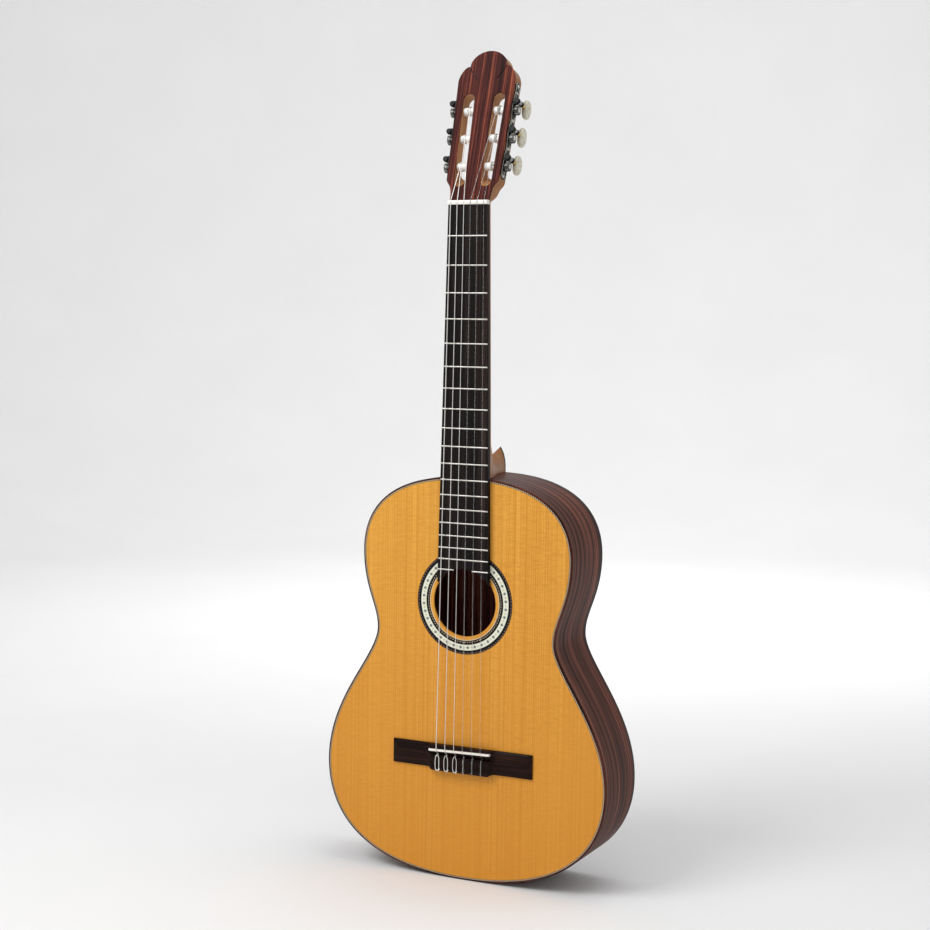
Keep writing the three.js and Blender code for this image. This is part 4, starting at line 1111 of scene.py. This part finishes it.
def ears(side, place, name):
    """The pair of bearing ears that hold one worm, with a rounded cover between them on the plate's side."""
    z = tuner_z(place) + WORM_UP
    flip = flipped(side)
    build = Build()
    radius, bore, rounding = 3.6, 1.75, 0.4
    for low, high in ((2.9, 5.1), (12.5, 15.1)):
        profile = [(bore, low), (radius - rounding, low), (radius, low + rounding), (radius, high - rounding),
                   (radius - rounding, high), (bore, high), (bore, low)]
        build.add(turned(profile, 28, "y", (WORM_X, 0, z)), move=flip)
        web = [(PLATE_X - 0.4, z - radius - 0.6), (PLATE_X + 0.8, z - radius), (WORM_X, z - radius + 0.02),
               (WORM_X, z - 1.9), (WORM_X - 1.9, z), (WORM_X, z + 1.9), (WORM_X, z + radius - 0.02),
               (PLATE_X + 0.8, z + radius), (PLATE_X - 0.4, z + radius + 0.6)]
        build.add(slab(web, low + 0.1, high - 0.1), move=flip)
    piece(f"{name}_ears_{place}", build, [BLACK_GLOSS], to=row(side))


def slotted_head(radius, high, base):
    """A domed screw head with a cut across it, standing on x = base."""
    rings = []
    for a in span(0, math.pi / 2, 8):
        x = base + high * math.sin(a)
        in_cut = min(x, base + high * 0.45)
        rings.append([(in_cut if abs(z) < radius * 0.16 and a > 0 else x, y, z)
                      for y, z in circle(0, 0, radius * math.cos(a), 32)])
    return sheet([[(base, 0, 0)] * 32, *rings], closed=True)


def screw(name, side, y, z):
    turn = Matrix.Rotation(random.Random(name).uniform(0, math.pi), 4, "X")
    flip = flipped(side)

    def move(px, py, pz):
        spun = turn @ Vector((px, py, pz))
        return flip(spun.x, spun.y + y, spun.z + z)

    piece(name, Build().add(slotted_head(2.0, 1.1, PLATE_X), move=move), [NICKEL], to=row(side))


def worm(n):
    """A shaft with a real screw thread between its bearings, a tip in front and a collar behind."""
    side, z = string_side(n), tuner_z(tuner_place(n)) + WORM_UP
    low, high, pitch, root, crest, shaft = 5.5, 12.1, 2.5, 2.15, 3.1, 1.6
    sides, steps = 32, 66
    front = [(0, 1.2), (2.6, 1.2), (3.2, 1.6), (3.2, 2.7), (shaft, 2.75), (shaft, low - 0.05)]
    rear = [(shaft, high + 0.05), (shaft, 15.35), (2.5, 15.4), (2.8, 15.7), (2.8, 16.6), (2.3, 17.2),
            (2.5, 17.8), (1.95, 18.6), (1.9, 21.6), (2.6, 21.9), (2.6, 22.5), (0, 22.6)]
    collar = len(front) + steps + 2

    def ring(y, *radii):
        """A ring of points, with one radius for all of them or one for each."""
        return [(radii[k % len(radii)] * u, y, radii[k % len(radii)] * v)
                for k, (u, v) in enumerate(circle(0, 0, 1, sides))]

    def thread(k, y):
        """The thread's radius at one side of the ring at y. It fades into the shaft at both ends."""
        phase = ((y - low) / pitch + k / sides) % 1.0
        rise = clamp(1.6 - 4.2 * abs(phase - 0.5), 0, 1)
        fade = clamp(min(y - low, high - y) / 0.8, 0, 1)
        return lerp(shaft, lerp(root, crest, rise), fade)

    def mark(band):
        """A black tip and collar, a brass stem and a steel thread."""
        if band > collar + 3:
            return 1
        return 0 if band > collar or band < len(front) - 2 else 2

    rings = [ring(y, radius) for radius, y in front]
    rings += [ring(y, *(thread(k, y) for k in range(sides))) for y in span(low, high, steps)]
    rings += [ring(y, radius) for radius, y in rear]
    points, faces = sheet(rings, closed=True)
    marks = [mark(i // sides) for i in range(len(faces))]
    build = Build().add((points, faces), marks, move=lambda x, y, dz: (side * WORM_X + x, y, z + dz))
    piece(f"worm_shaft_{n}", build, [BLACK_GLOSS, BRASS, STEEL], to=row(side), body=f"knob_{n}",
          slot="black_metal")


def button(n):
    """An oval knob with full, rounded edges."""
    side, z = string_side(n), tuner_z(tuner_place(n)) + WORM_UP
    centre, half_y, half_z, half_x = 31.2, 8.7, 12.0, 4.0
    rings = []
    for a in span(-math.pi / 2, math.pi / 2, 20):
        out, up = power(math.cos(a), 0.62) if abs(a) < 1.57 else 0.0, power(math.sin(a), 0.8)
        rings.append([(side * WORM_X + half_x * up, centre + half_y * out * power(u, 0.93),
                       z + half_z * out * power(v, 0.93)) for u, v in circle(0, 0, 1, 48)])
    piece(f"button_{n}", sheet(rings, closed=True), [PEARL], to=row(side), body=f"knob_{n}",
          slot="pearl_plastic", smooth=60)


def gear(n):
    """A worm wheel of 14 teeth with a throat, its hub and the screw that holds it."""
    side, z = string_side(n), tuner_z(tuner_place(n))
    low, high, teeth, tip, root = 36.6, 41.0, 14, 6.1, 5.05
    loops = []
    middle = lerp(low, high, 0.5)
    for x, shrink in ((low, 0.35), (low + 0.7, 0.0), (middle, -0.25), (high - 0.7, 0.0), (high, 0.35)):
        ring = []
        for k in range(teeth):
            for part, radius in ((0.0, root), (0.18, root), (0.36, tip), (0.68, tip), (0.86, root)):
                a = 2 * math.pi * (k + part) / teeth
                r = radius - max(shrink, 0.0) - (0.25 if shrink < 0 and radius == tip else 0.0)
                ring.append(round_axis(side * x, r, a, z))
        loops.append(ring)
    build = Build().add(loft(loops))
    flip = flipped(side)
    hub = [(0, 35.0), (4.0, 35.0), (4.2, 35.2), (4.2, low + 0.1), (0, low + 0.1)]
    build.add(turned(hub, 32, "x", (0, AXIS_DEEP, z)), move=flip)
    head = slotted_head(2.5, 1.3, high)
    build.add(head, 1, move=lambda x, y, dz: flip(x, y + AXIS_DEEP, dz + z))
    piece(f"gear_{n}", build, [GEAR_STEEL, NICKEL], to=row(side), body=f"spool_{n}", slot="gear_metal")


def roller(n):
    """A white sleeve with a string hole, on a steel axle that reaches the worm wheel."""
    side, z = string_side(n), tuner_z(tuner_place(n))
    low, high = SLOT_X - SLOT_HALF + BORE_PLAY, SLOT_X + SLOT_HALF - BORE_PLAY
    flip = flipped(side)
    r = ROLLER_R
    sleeve = turned([(0, low), (r - 0.5, low), (r - 0.1, low + 0.15), (r, low + 0.5), (r, high - 0.5),
                     (r - 0.1, high - 0.15), (r - 0.5, high), (0, high)], 48, "x", (0, AXIS_DEEP, z))
    made = raw_object(f"roller_{n}", Build().add(sleeve, move=flip), [ROLLER_WHITE, DARK_LINE_AND_PAINTED_SHADE], row(side))
    at = ROLLER_X[tuner_place(n)] + 3.4
    # The string hole's walls are painted near-black: painted shade inside the hole.
    hole = loft([[(side * at + u, y, z + v) for u, v in circle(0, 0, 0.85, 16)] for y in (-5, 25)])
    combine(made, hole, DARK_LINE_AND_PAINTED_SHADE, row(side))
    hand_over(made, f"roller_{n}", body=f"spool_{n}", slot="roller_plastic")
    pin = [(0, low - 4.9), (2.2, low - 4.9), (ROLLER_PIN, low - 4.6), (ROLLER_PIN, low + 0.05),
           (0, low + 0.05)]
    journal = [(0, high - 0.05), (ROLLER_JOURNAL, high - 0.05), (ROLLER_JOURNAL, 34.95), (0, 34.95)]
    axle = Build()
    for profile in (pin, journal):
        axle.add(turned(profile, 28, "x", (0, AXIS_DEEP, z)), move=flip)
    piece(f"roller_axle_{n}", axle, [STEEL], to=row(side), body=f"spool_{n}")


# ---- Strings ----
def row_point(side, x, y, z):
    """A point of a tuner row's frame in the design frame."""
    at = row(side) @ (Vector((x, y, z)) / 1000) * 1000
    return Vector((at.x, at.y + NECK_BACK, at.z + NUT_Z))


def into_row(side, point):
    return row(side).inverted() @ spot(*point) * 1000


def bass_tie(x, r):
    """A wound string's loop on the tie block: up from its hole, forward, round the string itself and back."""
    top = -BLOCK - r
    low = -BLOCK + 0.4
    return smooth_path([
        (x + 3.6, top - 0.2, 135.2), (x + 2.2, top - 2.0 * r, 134.0), (x - 0.4, top - 0.9 * r, 133.4),
        (x - 2.0, top, 135.0), (x - 2.5, top, 138.5), (x - 2.5, top, 144.5), (x - 2.1, top, 148.8),
        (x - 1.0, top, 151.2), (x - 0.3, low + 1.6, 152.9), (x + 0.7, low + 1.4, 152.9),
        (x + 1.2, top, 151.2), (x + 2.2, top, 148.8), (x + 2.5, top, 144.5), (x + 2.5, top, 138.5),
        (x + 2.1, top, 134.2), (x + 1.2, low + 0.6, 131.7), (x + 0.4, TIE_HOLE - 1.2, 131.3),
        (x, TIE_HOLE, 132.0)], 5)


def treble_tie(x, r):
    """A nylon string's loop, twisted round itself on the tie block."""
    axis = -BLOCK - 2.0 * r
    turns, low, high = 3.5, 134.8, 150.0

    def twisted(share, phase):
        a = 2 * math.pi * turns * share + phase
        return (x + 1.05 * r * math.cos(a), axis - 1.05 * r * math.sin(a), lerp(low, high, share))

    path = [(x - 2.4, axis + r, low - 0.6)]
    path += [twisted(i / 28, 0.0) for i in range(29)]
    path += [(x - 0.4, -7.9, 152.4), (x + 0.5, -7.3, 152.8), (x + 0.9, -8.8, 151.6)]
    path += [twisted(1 - i / 28, math.pi) for i in range(29)]
    path += [(x + 0.4, -8.6, 131.8), (x, -6.6, 131.2), (x, TIE_HOLE, 132.0)]
    return smooth_path(path, 3)


def string_path(n):
    """The run from the tie block's front over the saddle and the nut to where the string meets its roller."""
    r, side, place = STRING_R[n - 1], string_side(n), tuner_place(n)
    x, nut_x = string_x(n, SADDLE_STEP), string_x(n, NUT_STEP)
    saddle_y, nut_y = SADDLE_TOP - r, NUT_NOTCH - r
    start = [(x, TIE_HOLE, 140.0), (x, TIE_HOLE, 151.6), (x, TIE_HOLE - 0.15, 152.0)]
    over_saddle = [(x, saddle_y + lift, SADDLE_Z + SADDLE_SLANT * x + ahead)
                   for lift, ahead in ((0.75, -1.2), (0.12, -0.5), (0.0, 0.0), (0.0, 0.7))]
    over_nut = [(nut_x, nut_y, NUT_Z + 0.2), (nut_x, nut_y, NUT_Z + NUT_LONG * 0.55),
                (nut_x, nut_y + 0.25, NUT_Z + 4.6)]
    reach = ROLLER_R + r
    nut_end = into_row(side, over_nut[-1])
    dy, dz = nut_end.y - AXIS_DEEP, nut_end.z - tuner_z(place)
    far = math.hypot(dy, dz)
    turn = math.atan2(dz, dy) - math.acos(reach / far)
    meet = round_axis(side * ROLLER_X[place], reach, turn, tuner_z(place))
    return start + over_saddle + over_nut, meet, turn


def winding(n, meet, turn):
    """Three turns and a bit round the roller, ending down its hole. In the tuner row's frame."""
    r, side, place = STRING_R[n - 1], string_side(n), tuner_place(n)
    reach = ROLLER_R + r
    turns, pitch, steps, z = 3.1, 2 * r + 0.08, 96, tuner_z(place)
    path = []
    for i in range(steps + 1):
        a = turn - 2 * math.pi * turns * i / steps
        x = meet[0] + side * pitch * turns * i / steps
        path.append(round_axis(x, reach, a, z))
    return path + [round_axis(x, reach - r, a - 0.35, z), round_axis(x, reach - 2.6, a - 0.5, z)]


def strings():
    for n in range(1, 7):
        r, side = STRING_R[n - 1], string_side(n)
        material, slot = (NYLON, "nylon") if n <= 3 else (WOUND, "wound_string")
        path, meet, turn = string_path(n)
        tie = bass_tie if n > 3 else treble_tie
        whole = tie(string_x(n, SADDLE_STEP), r) + path + [row_point(side, *meet)]
        piece(f"string_{n}", tube(whole, r, 12), [material], slot=slot, smooth=60)
        wound = tube(winding(n, meet, turn), r, 10)
        piece(f"string_winding_{n}", wound, [material], to=row(side), body=f"spool_{n}", slot=slot, smooth=60)


# ---- What stays from CAD, inside the body ----
def inner_pieces():
    pale = ("lining_top", "lining_back", "fan_bracing", "harmonic_bar_upper", "harmonic_bar_lower",
            "back_brace_upper", "back_brace_middle", "back_brace_lower")
    kept = {name: PALE_WOOD for name in pale}
    kept |= {"back_centre_strip": INNER_WOOD, "neck_block": NECK_WOOD, "tail_block": NECK_WOOD}
    for name, material in kept.items():
        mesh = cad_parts[name].data
        mesh.materials.clear()
        mesh.materials.append(material)


# ---- Floor and light ----
def studio():
    """A round pale floor that curves up into a wall all round, so that no horizon shows."""
    paint = Paint("studio_paper", rough=0.8, Specular_IOR_Level=0.1)
    cloud = paint.noise((3, 3, 3), detail=3.0)
    material = paint.done(paint.blend(paint.spread(cloud, 0.3, 0.7), (0.80, 0.80, 0.80), (0.82, 0.82, 0.82)))
    bottom, flat, bend, wall, sides = -NUT_Z / 1000, 3.0, 1.8, 3.2, 96
    profile = [(0.0, 0.0), (0.6, 0.0), (1.6, 0.0)]
    profile += [(flat + bend * math.sin(a), bend * (1 - math.cos(a)))
                for a in span(0, math.pi / 2, 16)]
    profile.append((flat + bend, wall))
    rings = [[(x, y, bottom + up) for x, y in circle(0, 0, r, sides)] for r, up in profile]
    shell = raw_object("floor", sheet(rings, closed=True), [material], lambda x, y, z: Vector((x, y, z)))
    shell.data.shade_smooth()


def lamp(name, at, aim, size, energy):
    data = bpy.data.lights.new(name, "AREA")
    data.shape, data.size, data.energy = "DISK", size, energy
    light = bpy.data.objects.new(name, data)
    light.location = at
    light.rotation_mode = "QUATERNION"
    light.rotation_quaternion = (Vector(aim) - Vector(at)).to_track_quat("-Z", "Y")
    light.visible_camera = False
    bpy.context.scene.collection.objects.link(light)


def lights():
    world = bpy.data.worlds.new("studio")
    world.use_nodes = True
    world.node_tree.nodes["Background"].inputs["Color"].default_value = (0.92, 0.92, 0.92, 1)
    world.node_tree.nodes["Background"].inputs["Strength"].default_value = 0.71
    bpy.context.scene.world = world
    lamp("key", (-0.85, -1.4, 1.2), (0, 0, -0.28), 1.3, 28)
    lamp("top", (0.6, 0.2, 2.3), (0.3, 0, -0.8), 1.8, 18)
    lamp("backdrop", (-0.3, 1.5, 1.0), (-1.7, 4.2, -0.8), 1.2, 32)
    bpy.context.scene.view_settings.view_transform = "Standard"


for make in (soundboard, purfling, rosette, bindings, sides, back, neck, heel_cap, head_veneer, fingerboard,
             frets, nut, bridge, saddle):
    make()
for row_side in (1, -1):
    tuner_plate(row_side)
for string_number in range(1, 7):
    worm(string_number)
    button(string_number)
    gear(string_number)
    roller(string_number)
for make in (strings, inner_pieces, studio, lights):
    make()
